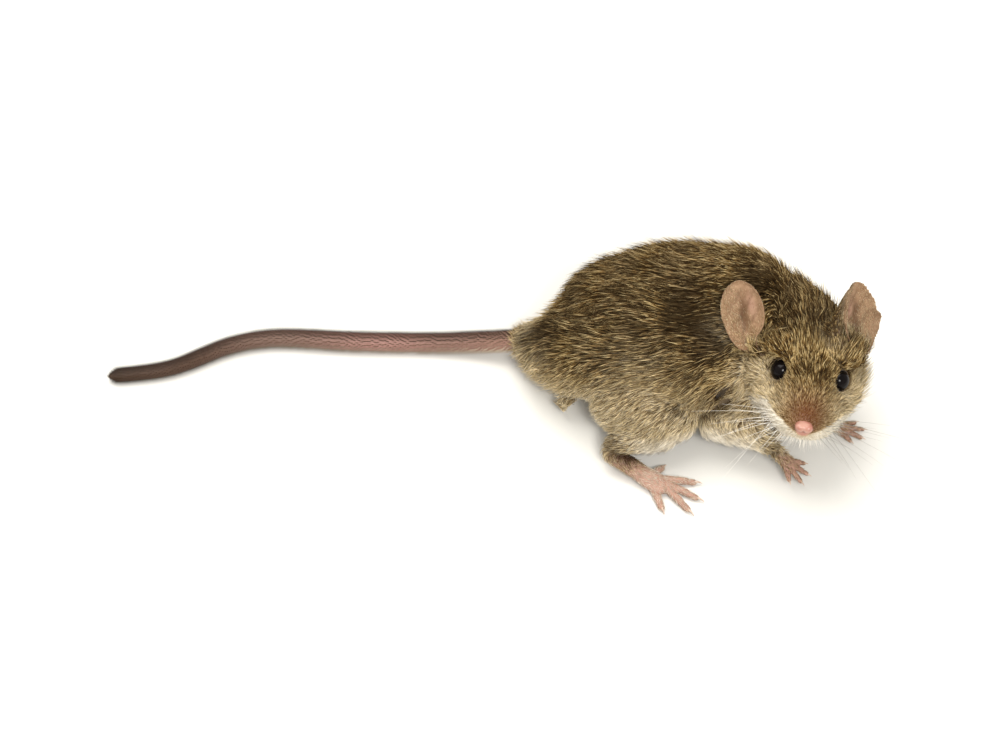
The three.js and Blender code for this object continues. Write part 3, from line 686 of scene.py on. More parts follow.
class Zones:
    """What the skin and the coat are like at each point of the skin."""

    def __init__(self, spines, ears, points, normals):
        gaps, flows = spines.measure(points)
        closest = np.min(list(gaps.values()), axis=0)
        share = {name: np.exp(-(gap - closest) / (0.4 if name.startswith("ear") else 0.9))
                 for name, gap in gaps.items()}
        total = sum(share.values())
        share = {name: value / total for name, value in share.items()}
        self.legs = sum(v for k, v in share.items() if k in LEGS)
        self.feet = sum(v for k, v in share.items() if k in FEET)
        self.ears = sum(v for k, v in share.items() if k in EARS) + share["ear_fold"]
        self.tail, self.head = share["tail"], share["head"]
        self.body = sum(share[name] for name in ("trunk", "neck", "chest", "ruff", "vent"))
        self.share = share
        self.place_on_head = within(points, HEAD)
        self.from_nose = np.linalg.norm(self.place_on_head - NOSE, axis=1)
        self.points, self.normals = points, normals
        self.ear_out, self.ear_shade, self.ear_pink, self.ear_back = np.zeros((4, len(points)))
        for name, ear in ears.items():
            on_ear = within(points, ear.place)
            height, out = on_ear[:, 2] / ear.tall, ear.outer_side * on_ear[:, 1] / ear.half_width
            self.ear_out += share[name] * out
            self.ear_shade += share[name] * self.painted_shade_and_rim(height, out, ear.outer_side)
            pink = np.exp(-((out + 0.38) / 0.25) ** 2 - ((height - 0.6) / 0.2) ** 2)
            self.ear_pink += share[name] * pink
            self.ear_back += share[name] * smooth(-(normals @ ear.place[:3, 0]), -0.2, 0.5)
        self.ear_back = np.maximum(self.ear_back, share["ear_fold"])
        self.flow = self.combed(flows)

    @staticmethod
    def painted_shade_and_rim(height, out, side):
        """painted shade in the hollow and folds inside an ear, and its darker rim"""
        middle = 0.05 + 0.3 * (0.5 - height)
        hollow = np.exp(-((out - middle) / 0.17) ** 2) * smooth(height, 0.1, 0.3)
        hollow = hollow * (1 - smooth(height, 0.62, 0.85))
        folds = np.maximum(-np.sin(21 * height - 9 * side * out), 0) ** 2 * smooth(height, 0.2, 0.4)
        folds = 0.5 * folds * (1 - smooth(height, 0.75, 0.95)) * (1 - np.minimum(out**2, 1))
        rim = 0.4 * smooth(np.hypot(out, (height - 0.5) / 0.5), 0.9, 1.0)
        return np.clip(hollow + folds + rim, 0, 1)

    def combed(self, flows):
        """the way the fur lies at each point, along the skin"""
        droop = np.array([0.0, 0.0, -0.62])
        spread = self.place_on_head - FUR_FRONT
        spread[:, 0] += 7 * smooth(np.abs(spread[:, 1]), 4.0, 8.5)
        way = self.head[:, None] * unit(spread) @ HEAD[:3, :3].T
        for name, share in self.share.items():
            if name == "head":
                continue
            flow = flows[name]
            if name == "ruff":
                flow = np.array([-0.8, 0.3, -0.5])
            if name in ("trunk", "neck", "chest"):
                flow = unit(flow + droop * (1 - np.abs(self.normals[:, 2:3])))
            if name.startswith("thigh"):
                flow = unit(np.array([-1.0, 0, -0.75]))
            if name.startswith("arm"):
                flow = unit(flow + np.array([-0.5, 0, -0.3]))
            way = way + share[:, None] * flow
        way -= self.normals * (way * self.normals).sum(1)[:, None]
        return unit(way)


# --------------------------------------------------------------------- the skin

LID_OPENING = 1.62  # radius of the opening between the lids
LID_EDGE = math.sqrt(EYE_RADIUS**2 - LID_OPENING**2)  # how far before the eye's centre it is
LID_THICK = 0.09
NOSE_LINE = [
    [8.4, 0, -2.1, 1.0, 0.7, 1.0], [9.3, 0, -2.15, 1.3, 0.85, 1.15],
    [10.3, 0, -2.3, 1.4, 0.9, 1.25], [11.0, 0, -2.75, 0.85, 0.7, 0.85],
]
NOSTRIL = [(10.95, 0.42, -3.05), (10.65, 1.0, -2.9), (10.1, 1.4, -2.45)]
PHILTRUM = [(10.85, 0, -2.2), (11.0, 0, -2.8), (10.8, 0, -3.4), (10.3, 0, -4.0)]
MOUTH = [(10.4, 0, -4.9), (8.6, 1.5, -5.6), (6.2, 2.6, -6.2), (4.6, 3.2, -6.3)]
# how deep each groove is, and over what reach it fades out
NOSTRIL_DEPTH, NOSTRIL_REACH = 0.5, 0.2
PHILTRUM_DEPTH, PHILTRUM_REACH = 0.55, 0.26
MOUTH_DEPTH, MOUTH_REACH = 0.35, 0.35
CREASE_DEPTH, CREASE_REACH = 1.1, 0.6
NOSE_LOBE = (10.65, 0.75, -1.95, 0.6, 0.42)  # over each nostril: x, y, z, reach, height


def eye_look(side):
    forward, aside, rise = EYE_LOOK
    return unit([forward, side * aside, rise])


def away_from_path(points, path):
    """distance of each point from a broken line"""
    path = np.array(path, float)
    best = np.full(len(points), np.inf)
    for start, end in zip(path[:-1], path[1:]):
        way = end - start
        t = np.clip((points - start) @ way / (way @ way), 0, 1)
        best = np.minimum(best, np.linalg.norm(points - start - t[:, None] * way, axis=1))
    return best


def near_path(points, path, reach):
    """1 on the path, fading out over the reach"""
    return np.exp(-(away_from_path(points, path) / reach) ** 2)


def mirrored(path, side):
    return [(x, side * y, z) for x, y, z in path]


def before_eye(points, side):
    """how far each point is before the eye's centre, and how far from its line of sight"""
    look = eye_look(side)
    away = points - EYE_CENTRES[side]
    front = away @ look
    return front, np.linalg.norm(away - front[:, None] * look, axis=1)


def opened_lids(points):
    """points of the head, in its frame, drawn round the eyeballs"""
    points = points.copy()
    for side in EYE_CENTRES:
        front, radius = before_eye(points, side)
        ball = np.sqrt(np.maximum(EYE_RADIUS**2 - radius**2, 0.04))
        lid = LID_EDGE + 0.1 - 0.25 * (radius - LID_OPENING)
        target = np.where(radius < LID_OPENING - 0.05, ball - 0.55, lid)
        pull = (1 - smooth(radius, 1.75, 3.3)) * smooth(front, -1.0, 0.0)
        points += (pull * (target - front))[:, None] * eye_look(side)
    return points


def lid_ring(side):
    """the rounded edge of the lids, on the eyeball"""
    look = eye_look(side)
    across = unit(np.cross(UP, look))
    rise = np.cross(look, across)
    turns, sides = 48, 10
    angle = np.arange(turns) / turns * 2 * math.pi
    turn = np.arange(sides) / sides * 2 * math.pi
    out = np.cos(angle)[:, None] * across + np.sin(angle)[:, None] * rise
    middle = np.array(EYE_CENTRES[side]) + LID_OPENING * out + (LID_EDGE + 0.02) * look
    points = (middle[:, None] + LID_THICK * (np.cos(turn)[None, :, None] * out[:, None]
                                             + np.sin(turn)[None, :, None] * look))
    ring, part = np.meshgrid(np.arange(turns), np.arange(sides), indexing="ij")
    a = (ring * sides + part).ravel()
    b = (ring * sides + (part + 1) % sides).ravel()
    c = (((ring + 1) % turns) * sides + part).ravel()
    d = (((ring + 1) % turns) * sides + (part + 1) % sides).ravel()
    faces = np.concatenate([np.stack([a, d, b], 1), np.stack([a, c, d], 1)])
    return placed(points.reshape(-1, 3), HEAD), faces


def nose_form(points):
    """nostrils and the cleft under the nose"""
    points = points.copy()
    outwards = unit(points - [9.6, 0, -2.6])
    x, y, z, reach, height = NOSE_LOBE
    for side in (-1, 1):
        lobe = bump(points, (x, y * side, z), reach)
        dent = near_path(points, mirrored(NOSTRIL, side), NOSTRIL_REACH)
        points += outwards * (height * lobe - NOSTRIL_DEPTH * dent)[:, None]
    cleft = near_path(points, PHILTRUM, PHILTRUM_REACH)
    points -= outwards * (PHILTRUM_DEPTH * cleft)[:, None]
    return points


# creases behind the elbow
CREASES = [
    [(32.2, -15.1, 8.7), (34.0, -15.4, 10.0), (35.9, -15.6, 12.0)],
    [(34.4, -15.8, 13.4), (35.9, -15.3, 15.1)],
]
# darker and paler places of the coat: [x, y, z, reach]; some dark ones are painted shade where the
# fur folds, as behind the right ear, the rest darker fur
DARK_AND_SHADED_SPOTS = [[32.0, -7.5, 24.3, 4.2], [35.0, -10.5, 22.0, 2.6], [29.0, -16.5, 11.5, 1.5],
              [19.0, -18.4, 5.0, 2.6], [20.6, -20.0, 3.2, 2.0], [42.9, -20.2, 6.2, 1.8],
              [5.8, -1.0, 10.2, 2.0], [8.6, -1.6, 14.0, 3.0], [12.6, -8.6, 4.6, 1.5],
              [42.0, -2.0, 24.0, 3.2], [45.0, -0.4, 21.6, 3.0]]
PALE_SPOTS = [[24.0, -13.5, 13.5, 6.0], [30.0, -17.0, 7.0, 7.0]]
TAIL_ROOT = (3.6, 3.6, 4.6)  # the coat is less pale round it


def near_creases(points, reach):
    return sum(near_path(points, path, reach) for path in CREASES)


def near_spots(points, spots):
    return sum(bump(points, place, reach) for *place, reach in spots)


def body_tone(zones, up, low, patches, spots):
    """how dark and how pale the coat of the body is"""
    # spots holds darker fur and painted shade in creases and folds
    dark = 0.05 + 0.53 * up**2.2 * (1 - 0.6 * low) + 0.06 * patches + 0.5 * spots
    pale = np.maximum(0.75 * (1 - smooth(zones.normals[:, 2], -0.7, 0.45)), 0.8 * low)
    pale *= 1 - 0.85 * bump(zones.points, TAIL_ROOT, 5.0)
    pale += 0.25 * near_spots(zones.points, PALE_SPOTS)
    return dark, np.maximum(pale, 0.8 * zones.share["chest"]) * (1 - spots)


def head_tone(zones):
    """how dark, how pale and how rusty the coat of the head is"""
    on_head = zones.place_on_head
    x, y, z = on_head.T

    def twinned(place, reach):
        return sum(bump(on_head, np.multiply(place, (1, side, 1)), reach) for side in (1, -1))

    # painted shade in the nostrils and the cleft under the nose
    groove_shade = sum(near_path(on_head, mirrored(NOSTRIL, side), 0.27) for side in (1, -1))
    groove_shade += 0.5 * near_path(on_head, PHILTRUM, 0.25)
    crown = smooth(z, 0.2, 4.5) * smooth(-x, -0.5, 3.5)
    dark = (0.22 + groove_shade + 0.5 * crown
            + 0.36 * twinned((3.6, 1.6, 2.2), 1.6) - 0.16 * smooth(-z, 0.5, 3.0))
    chin = smooth(-z + 0.45 * np.minimum(np.abs(y), 3.0), 3.5, 4.0) * smooth(x, 2.5, 6.0)
    throat = smooth(-z, 3.0, 6.0)
    cheek = 0.3 + 0.5 * twinned((-2.0, 8.2, -2.0), 4.5) + 0.5 * twinned((2.5, 5.0, -2.5), 2.6)
    pad = twinned((6.2, 4.3, -3.6), 1.9)
    jowl = bump(on_head, (-1.2, -8.4, 0.4), 3.0)
    pale = np.clip(chin + throat + pad, 0, 1) + 0.8 * cheek * smooth(-z, -2.5, 1.0) + 0.3 * jowl
    rust = bump(on_head, (9.2, 0, -0.8), 3.1) * (1 - chin)
    return dark - 0.1 * jowl, pale, rust


def coat_tone(zones):
    """the coat's markings, with painted shade in creases and folds: how dark, how pale, how rusty
    and how grey it is
    """
    x, y, z = zones.points.T
    up = smooth(zones.normals[:, 2], -0.45, 0.85)
    low = 1 - smooth(z, 4.5, 15.0)
    patches = (np.sin(0.5 * x + 0.7 * z) + np.sin(0.9 * x - 0.55 * y + 2)) / 2
    # painted shade along the creases behind the elbow, added to the dark spots
    creased = near_creases(zones.points, 0.9)
    spots = np.clip(0.75 * near_spots(zones.points, DARK_AND_SHADED_SPOTS) + 1.5 * creased, 0, 1)
    dark_body, pale_body = body_tone(zones, up, low, patches, spots)
    dark_head, pale_head, rust = head_tone(zones)
    paws = zones.share["forepaw_right"] + zones.share["forepaw_left"]
    limbs = zones.legs + zones.feet
    trunk = zones.body + zones.tail
    tone = np.empty((len(x), 4))
    # the ears are darker on their furred backs, with painted shade in their hollows and folds
    tone[:, 0] = (trunk * dark_body + zones.head * dark_head
                  + limbs * (0.05 + 0.2 * up + 0.7 * spots)
                  + zones.ears * (0.1 + 0.6 * zones.ear_back + 0.9 * zones.ear_shade))
    tone[:, 1] = (trunk * pale_body + zones.head * pale_head
                  + limbs * (0.4 + 0.6 * low) * (1 - spots) * (1 - 0.6 * paws)
                  + zones.ears * 0.6 * (1 - zones.ear_back))
    tone[:, 2] = zones.head * rust + 0.3 * zones.feet + zones.ears * zones.ear_pink
    tone[:, 3] = trunk * (0.35 + 0.25 * patches) * up + zones.head * 0.2 * up
    return np.clip(tone, 0, 1)


class Skin:
    """one surface over the whole animal: points, triangles, normals and zones"""

    def __init__(self):
        parts = body_parts()
        ears = {name: Ear(name) for name in EARS}
        fold = Loft(EAR_FOLD, 26, 20, (1, 0.3), place=ears["ear_left"].place)
        shapes = [(loft.points, loft.faces) for lofts in parts.values() for loft, _ in lofts]
        shapes += [ear.shape() for ear in ears.values()] + [(fold.points, fold.faces)]
        whole = remeshed(*joined(shapes), VOXEL)
        points, edges = points_of(whole), edges_of(whole)
        triangles = triangles_of(whole)
        parts["ear_fold"] = [(fold, 1)]
        self.spines = Spines(parts, ears)
        zones = Zones(self.spines, ears, points, normals_of(points, triangles))
        furred = zones.body + zones.legs
        points = relaxed(points, edges, np.clip(furred, 0, 1), 50)
        points = relaxed(points, edges, np.clip(0.3 + zones.head, 0, 1), 4)
        points = self.with_face(points, zones.head)
        creased = np.minimum(near_creases(points, CREASE_REACH), 1)
        points += [0, 1, 0] * (CREASE_DEPTH * creased)[:, None]
        points[:, 2] = np.maximum(points[:, 2], 0)
        whole.vertices.foreach_set("co", points.astype(np.float32).ravel())
        whole = thinned(whole, np.clip(furred, 0, 1), SKIN_FACES)
        points, triangles = points_of(whole), triangles_of(whole)
        self.core, self.core_faces = len(points), len(triangles)
        shells = [(points, triangles)]
        nose = Loft(NOSE_LINE, 50, 48, (0.6, 0.8), form=nose_form, place=HEAD)
        shells.append((nose.points, nose.faces))
        shells += [lid_ring(side) for side in (1, -1)]
        self.points, self.triangles = joined(shells)
        self.nose_from = self.core
        self.lids_from = self.core + len(nose.points)
        self.normals = normals_of(self.points, self.triangles)
        self.zones = Zones(self.spines, ears, self.points, self.normals)
        self.tone = coat_tone(self.zones)
        bpy.data.meshes.remove(whole)

    @staticmethod
    def with_face(points, head_share):
        """the head with its lids opened and its mouth drawn in"""
        on_head = within(points, HEAD)
        shaped = opened_lids(on_head)
        for side in (-1, 1):
            line = near_path(shaped, mirrored(MOUTH, side), MOUTH_REACH)
            middle = shaped * [1, 0, 0] + [0, 0, -3.2]
            shaped += unit(middle - shaped) * (MOUTH_DEPTH * line)[:, None]
        return points + (placed(shaped, HEAD) - points) * smooth(head_share, 0.2, 0.8)[:, None]


skin = Skin()

# --------------------------------------------------------------------- the coat

# length, depth, relative density and thickness of the tufts on the head, by how far
# away the nose is
HEAD_FUR = {
    "away": [1.4, 3.0, 5.0, 8.0, 12.0, 17.0, 22.0],
    "length": [0.35, 0.6, 1.0, 1.6, 2.3, 2.8, 3.0],
    "depth": [0.08, 0.16, 0.32, 0.58, 0.85, 1.05, 1.15],
    "density": [60, 50, 42, 34, 27, 21, 18],
    "thick": [0.03, 0.042, 0.05, 0.052, 0.06, 0.066, 0.07],
}
# the same elsewhere: (body, legs, feet, ears)
FUR = {
    "length": (3.0, 1.9, 0.55, 0.45),
    "depth": (1.15, 0.6, 0.12, 0.07),
    "density": (15, 19, 10, 14),
    "thick": (0.07, 0.058, 0.033, 0.02),
}
PROUD_SHARE = 0.16  # share of the tufts that stand out of the coat
LOCK_STEP = 0.618034  # from one lock's shade to the next, so that neighbours differ
PATCH = 0.003  # share of the bake map's width that each tuft takes
TUFTS_IN_PIECE = 19900  # at most, for the limit on a piece's triangles
# longer there: [x, y, z, reach, by]
TAGS = [[9.4, -9.3, 3.1, 1.2, 0.8], [57.4, -14.2, 14.5, 3.0, 1.9], [57.5, -14.2, 18.8, 2.8, 1.8],
        [55.3, -18.3, 12.9, 2.4, 1.2], [57.6, -10.2, 17.2, 1.7, 0.9]]
TRIMS = [[2.6, 3.9, 4.3, 3.0, 0.5], [37.5, -12.5, 21.5, 2.6, 0.5]]  # shorter: by that share


class Coat:
    """tufts over the skin: roots first, then the middles of their rings"""

    RINGS = 2
    SIDES = 3

    def __init__(self, skin):
        self.skin = skin
        self.length, self.depth, self.density, self.thick = (
            self.by_zone(skin.zones, kind) for kind in FUR)
        self.density[skin.nose_from:] = 0
        self.sparse_on_ears(skin.zones)
        self.short_on_face(skin.zones)
        self.parted_on_body(skin.zones)
        self.roots, self.normals, self.traits = self.sown()
        self.lock = self.locks()
        self.trace()
        self.gathered()
        self.cleared()

    @staticmethod
    def by_zone(zones, kind):
        body, legs, feet, ears = FUR[kind]
        head = np.interp(zones.from_nose, HEAD_FUR["away"], HEAD_FUR[kind])
        return (zones.body * body + zones.legs * legs + zones.feet * feet + zones.ears * ears
                + zones.head * head + zones.tail * body)

    def sparse_on_ears(self, zones):
        """few hairs inside the ears, and longer ones on the left ear's fold"""
        smooth_ear = smooth(zones.ears, 0.3, 0.7) * (1 - zones.ear_back)
        self.density *= 1 - smooth_ear * (0.7 - 0.65 * smooth(zones.ear_out, -0.1, 0.5))
        fold = zones.share["ear_fold"]
        self.density, self.length = self.density + 8 * fold, self.length + 0.5 * fold
        self.thick = self.thick + 0.018 * fold

    def short_on_face(self, zones):
        """nose pad, tail and eyeballs bare, and short close fur round the eyes"""
        pad = smooth(zones.from_nose, 1.15, 1.5)
        self.density *= np.where(zones.head > 0.5, pad, 1) * (1 - smooth(zones.tail, 0.3, 0.6))
        eyes = np.min([np.linalg.norm(zones.place_on_head - c, axis=1)
                       for c in EYE_CENTRES.values()], axis=0)
        self.density *= smooth(eyes, EYE_RADIUS + 0.08, EYE_RADIUS + 0.3)
        near_eye = 1 - smooth(eyes, 1.9, 5.0)
        self.length *= 1 - 0.45 * near_eye
        self.depth *= 1 - 0.7 * near_eye
        self.density *= 1 + 1.2 * near_eye

    def parted_on_body(self, zones):
        """soles bare, creases open, and the places where the coat is shorter or longer"""
        sole = smooth(-zones.normals[:, 2], 0.3, 0.7) * zones.feet
        self.density *= 1 - sole
        self.density *= 1 - 0.85 * np.clip(near_creases(zones.points, 0.5), 0, 1)
        ahead = np.clip(near_creases(zones.points - [1.2, 0, 0.3], 1.3), 0, 1)
        self.length, self.depth = self.length * (1 - 0.6 * ahead), self.depth * (1 - 0.7 * ahead)
        for *place, reach, share in TRIMS:
            trim = 1 - share * bump(zones.points, place, reach)
            self.length, self.depth = self.length * trim, self.depth * trim
        for *place, reach, longer in TAGS:
            self.length += longer * bump(zones.points, place, reach)
            self.depth += 0.4 * longer * bump(zones.points, place, reach)

    def sown(self):
        """roots spread over the skin by density, with what the skin is like there"""
        points, triangles = self.skin.points, self.skin.triangles
        corner = points[triangles]
        area = np.linalg.norm(np.cross(corner[:, 1] - corner[:, 0], corner[:, 2] - corner[:, 0]),
                              axis=1) / 2
        wanted = np.cumsum(area * self.density[triangles].mean(1))
        chance = np.random.default_rng(SEED)
        spots = (np.arange(TUFTS) + chance.random(TUFTS)) * wanted[-1] / TUFTS
        face = np.minimum(np.searchsorted(wanted, spots), len(triangles) - 1)
        a, b = chance.random((2, TUFTS))
        over = a + b > 1
        a[over], b[over] = 1 - a[over], 1 - b[over]
        share = np.stack([1 - a - b, a, b], 1)
        corners = triangles[face]

        def at_roots(values):
            return np.einsum("nk,nk...->n...", share, values[corners])

        zones = self.skin.zones
        traits = {
            "length": at_roots(self.length), "depth": at_roots(self.depth),
            "thick": at_roots(self.thick), "flow": unit(at_roots(zones.flow)),
            "tone": at_roots(self.skin.tone),
            "head": at_roots(zones.head), "legs": at_roots(zones.legs),
            "feet": at_roots(zones.feet), "ears": at_roots(zones.ears),
            "chance": chance.random((TUFTS, 7)),
        }
        return at_roots(points), unit(at_roots(self.skin.normals)), traits

    def trace(self):
        """each tuft follows the lie of the coat over the skin, rising to the coat's depth"""
        traits = self.traits
        chance = traits["chance"]
        surface = BVHTree.FromPolygons(self.skin.points.tolist(), self.skin.triangles.tolist())
        level = np.random.default_rng(SEED).random(self.lock.max() + 1)[self.lock]
        proud = np.where(chance[:, 4] < PROUD_SHARE, 1.0, 0.0) * (1 - traits["ears"])
        length = traits["length"] * (0.7 + 0.6 * chance[:, 0] + 0.3 * proud)
        depth = traits["depth"] * (0.4 + 0.4 * chance[:, 1] + 0.35 * level + 0.3 * proud)
        sway = self.waves(self.roots)
        way = traits["flow"]
        aside = np.cross(self.normals, way)
        way = unit(way + aside * (sway + 0.5 * (chance[:, 2] - 0.5))[:, None])
        heights = [-0.12, 0.85, 1.08 + 0.9 * proud]
        spot, normal = self.roots, self.normals
        self.rings = [spot + normal * (heights[0] * depth)[:, None]]
        for height in heights[1:]:
            step = spot + way * (length / self.RINGS)[:, None]
            found = [surface.find_nearest(p) for p in step.tolist()]
            spot = np.array([f[0] for f in found])
            normal = np.array([f[1] for f in found])
            way = unit(way - normal * (way * normal).sum(1)[:, None])
            self.rings.append(spot + normal * (height * depth)[:, None])

    def cleared(self):
        """tufts that lie over a crease or an eye are cut short"""
        side_on = np.array([1.0, 0.0, 1.0])
        for path in CREASES:
            bare = (away_from_path(self.roots, path) > 0.7) & (self.roots[:, 1] < -12)
            for ring in self.rings[1:]:
                over = away_from_path(ring * side_on, np.array(path) * side_on) < 0.65
                self.cut(bare & over, 0.35)
        tips = within(self.rings[-1], HEAD)
        for side in EYE_CENTRES:
            front, radius = before_eye(tips, side)
            self.cut((radius < LID_OPENING + 0.1) & (front > 0) & (front < 3), 0.3)

    def cut(self, chosen, share):
        """the chosen tufts are left with that share of their length"""
        root = self.rings[0][chosen]
        for ring in self.rings[1:]:
            ring[chosen] = root + share * (ring[chosen] - root)

    @staticmethod
    def waves(points):
        """soft swings of the lie of the coat"""
        x, y, z = points.T
        return (0.16 * np.sin(0.55 * x + 0.7 * y + 1.1) + 0.13 * np.sin(1.1 * z - 0.6 * x + 0.4)
                + 0.12 * np.sin(1.9 * x + 1.3 * z - y))

    def locks(self):
        """which lock each tuft is in"""
        size = np.where(self.traits["head"] > 0.5, 0.5, 0.8) * (0.6 + self.traits["length"] / 5)
        cell = np.floor(self.roots / size[:, None] + self.waves(self.roots)[:, None] * 0.8)
        key = (cell * [73856093, 19349663, 83492791]).sum(1).astype(np.int64)
        return np.unique(key, return_inverse=True)[1]

    def gathered(self):
        """tips drawn together into locks"""
        count = np.bincount(self.lock)
        for ring, pull in ((1, 0.12), (2, 0.34)):
            place = self.rings[ring]
            middle = np.stack([np.bincount(self.lock, place[:, k]) / count for k in range(3)], 1)
            draw = pull * (0.3 + 1.2 * self.traits["chance"][:, 5])
            place += (middle[self.lock] - place) * draw[:, None]
        for ring in self.rings[1:]:
            ring[:, 2] = np.maximum(ring[:, 2], 0.08)

    def faces_of_one(self):
        """triangles of one tuft: its sides, its tip and its root"""
        faces = []
        for k in range(self.RINGS - 1):
            for j in range(self.SIDES):
                a, b = k * self.SIDES + j, k * self.SIDES + (j + 1) % self.SIDES
                c, d = a + self.SIDES, b + self.SIDES
                faces += [[a, b, d], [a, d, c]]
        last = (self.RINGS - 1) * self.SIDES
        tip = last + self.SIDES
        faces += [[last + j, last + (j + 1) % self.SIDES, tip] for j in range(self.SIDES)]
        faces.append([2, 1, 0])
        return np.array(faces)

    def mesh_arrays(self, chosen, charts):
        """points, triangles, attributes and bake map of the chosen tufts"""
        rings = [ring[chosen] for ring in self.rings]
        traits = {name: values[chosen] for name, values in self.traits.items()}
        count = len(chosen)
        thick = traits["thick"] * (0.65 + 0.6 * traits["chance"][:, 3])
        shape = [0.9, 1.0]
        angle = np.arange(self.SIDES) / self.SIDES * 2 * math.pi + math.pi / 2
        normal = self.normals[chosen]
        rows = []
        for k in range(self.RINGS):
            ahead = unit(rings[k + 1] - rings[max(k - 1, 0)])
            side = unit(np.cross(normal, ahead))
            lift = np.cross(ahead, side)
            ring = (rings[k][:, None] + (thick * shape[k])[:, None, None]
                    * (np.cos(angle)[None, :, None] * side[:, None]
                       + 0.6 * np.sin(angle)[None, :, None] * lift[:, None]))
            rows.append(ring)
        points = np.concatenate(rows + [rings[-1][:, None]], 1)
        per = points.shape[1]
        triangles = self.faces_of_one()[None] + (np.arange(count) * per)[:, None, None]
        along = np.append(np.repeat(np.arange(self.RINGS) / self.RINGS, self.SIDES), 1)
        around = np.append(np.tile(np.arange(self.SIDES) / self.SIDES, self.RINGS), 0.4)
        hair = np.empty((count, per, 4))
        hair[..., 0] = along
        hair[..., 1] = traits["chance"][:, 1:2]
        hair[..., 2] = traits["chance"][:, 6:7]
        hair[..., 3] = (self.lock[chosen] * LOCK_STEP % 1)[:, None]
        tone = np.repeat(traits["tone"][:, None], per, 1)
        patch = np.stack([around, along], 1) * PATCH
        uv = charts[:, None] * (1 - PATCH) + patch[None]
        return (points.reshape(-1, 3), triangles.reshape(-1, 3), hair.reshape(-1, 4),
                tone.reshape(-1, 4), uv.reshape(-1, 2))


# --------------------------------------------------------------------- finishes


class Finish:
    """a material whose colour and bump come from nodes"""

    def __init__(self, name, roughness, specular=0.4, **fixed):
        self.material = bpy.data.materials.new(name)
        self.material.use_nodes = True
        self.tree = self.material.node_tree
        self.shader = self.tree.nodes["Principled BSDF"]
        self.shader.inputs["Roughness"].default_value = roughness
        self.shader.inputs["Specular IOR Level"].default_value = specular
        for name, value in fixed.items():
            self.shader.inputs[name.replace("_", " ")].default_value = value

    def node(self, kind, **settings):
        made = self.tree.nodes.new(kind)
        for name, value in settings.items():
            setattr(made, name, value)
        return made

    def feed(self, socket, value):
        if isinstance(value, bpy.types.NodeSocket):
            self.tree.links.new(value, socket)
        elif isinstance(value, (tuple, list)) and len(value) == 3 and socket.type == "RGBA":
            socket.default_value = (*value, 1)
        else:
            socket.default_value = value

    def attribute(self, name):
        """(red, green, blue, alpha) numbers of a colour attribute"""
        source = self.node("ShaderNodeAttribute", attribute_name=name)
        parts = self.node("ShaderNodeSeparateColor")
        self.feed(parts.inputs[0], source.outputs["Color"])
        return [*parts.outputs, source.outputs["Alpha"]]

    def number(self, name):
        return self.node("ShaderNodeAttribute", attribute_name=name).outputs["Fac"]

    def sum(self, operation, a, b=0.5, clamp=False):
        made = self.node("ShaderNodeMath", operation=operation, use_clamp=clamp)
        self.feed(made.inputs[0], a)
        self.feed(made.inputs[1], b)
        return made.outputs[0]

    def past(self, value, start, gain):
        """how far the value is past the start, times the gain, kept within 0 and 1"""
        return self.sum("MULTIPLY", self.sum("SUBTRACT", value, start), gain, True)

    def mix(self, a, b, share, blend="MIX"):
        made = self.node("ShaderNodeMix", data_type="RGBA", blend_type=blend)
        self.feed(made.inputs["Factor"], share)
        self.feed(made.inputs["A"], a)
        self.feed(made.inputs["B"], b)
        return made.outputs["Result"]

    def ramp(self, value, stops):
        made = self.node("ShaderNodeValToRGB")
        made.color_ramp.interpolation = "EASE"
        elements = made.color_ramp.elements
        while len(elements) < len(stops):
            elements.new(0.5)
        for element, (place, colour) in zip(elements, stops):
            element.position = place
            element.color = (*colour, 1)
        self.feed(made.inputs[0], value)
        return made.outputs[0]

    def noise(self, scale, detail=3, roughness=0.5, stretch=None):
        source = self.node("ShaderNodeTexCoord").outputs["Object"]
        if stretch:
            mapping = self.node("ShaderNodeMapping")
            mapping.inputs["Scale"].default_value = stretch
            self.feed(mapping.inputs[0], source)
            source = mapping.outputs[0]
        made = self.node("ShaderNodeTexNoise")
        self.feed(made.inputs["Vector"], source)
        made.inputs["Scale"].default_value = scale
        made.inputs["Detail"].default_value = detail
        made.inputs["Roughness"].default_value = roughness
        return made.outputs["Fac"]

    def colour(self, value):
        self.feed(self.shader.inputs["Base Color"], value)

    def bump(self, height, distance, strength=1.0):
        made = self.node("ShaderNodeBump")
        made.inputs["Strength"].default_value = strength
        made.inputs["Distance"].default_value = distance
        self.feed(made.inputs["Height"], height)
        self.feed(self.shader.inputs["Normal"], made.outputs[0])


SLATE = (0.05, 0.027, 0.009)
BUFF = (0.80, 0.61, 0.30)
BUFF_DEEP = (0.23, 0.13, 0.035)
BLACK_TIP = (0.028, 0.014, 0.004)
CREAM = (0.92, 0.78, 0.52)
WHITE = (0.97, 0.93, 0.85)
RUST = (0.25, 0.09, 0.036)
GREY_BUFF = (0.60, 0.49, 0.31)
PLAIN = (1.0, 1.0, 1.0)  # leaves what it is multiplied with as it is
SKIN_ROUGHNESS = 0.62


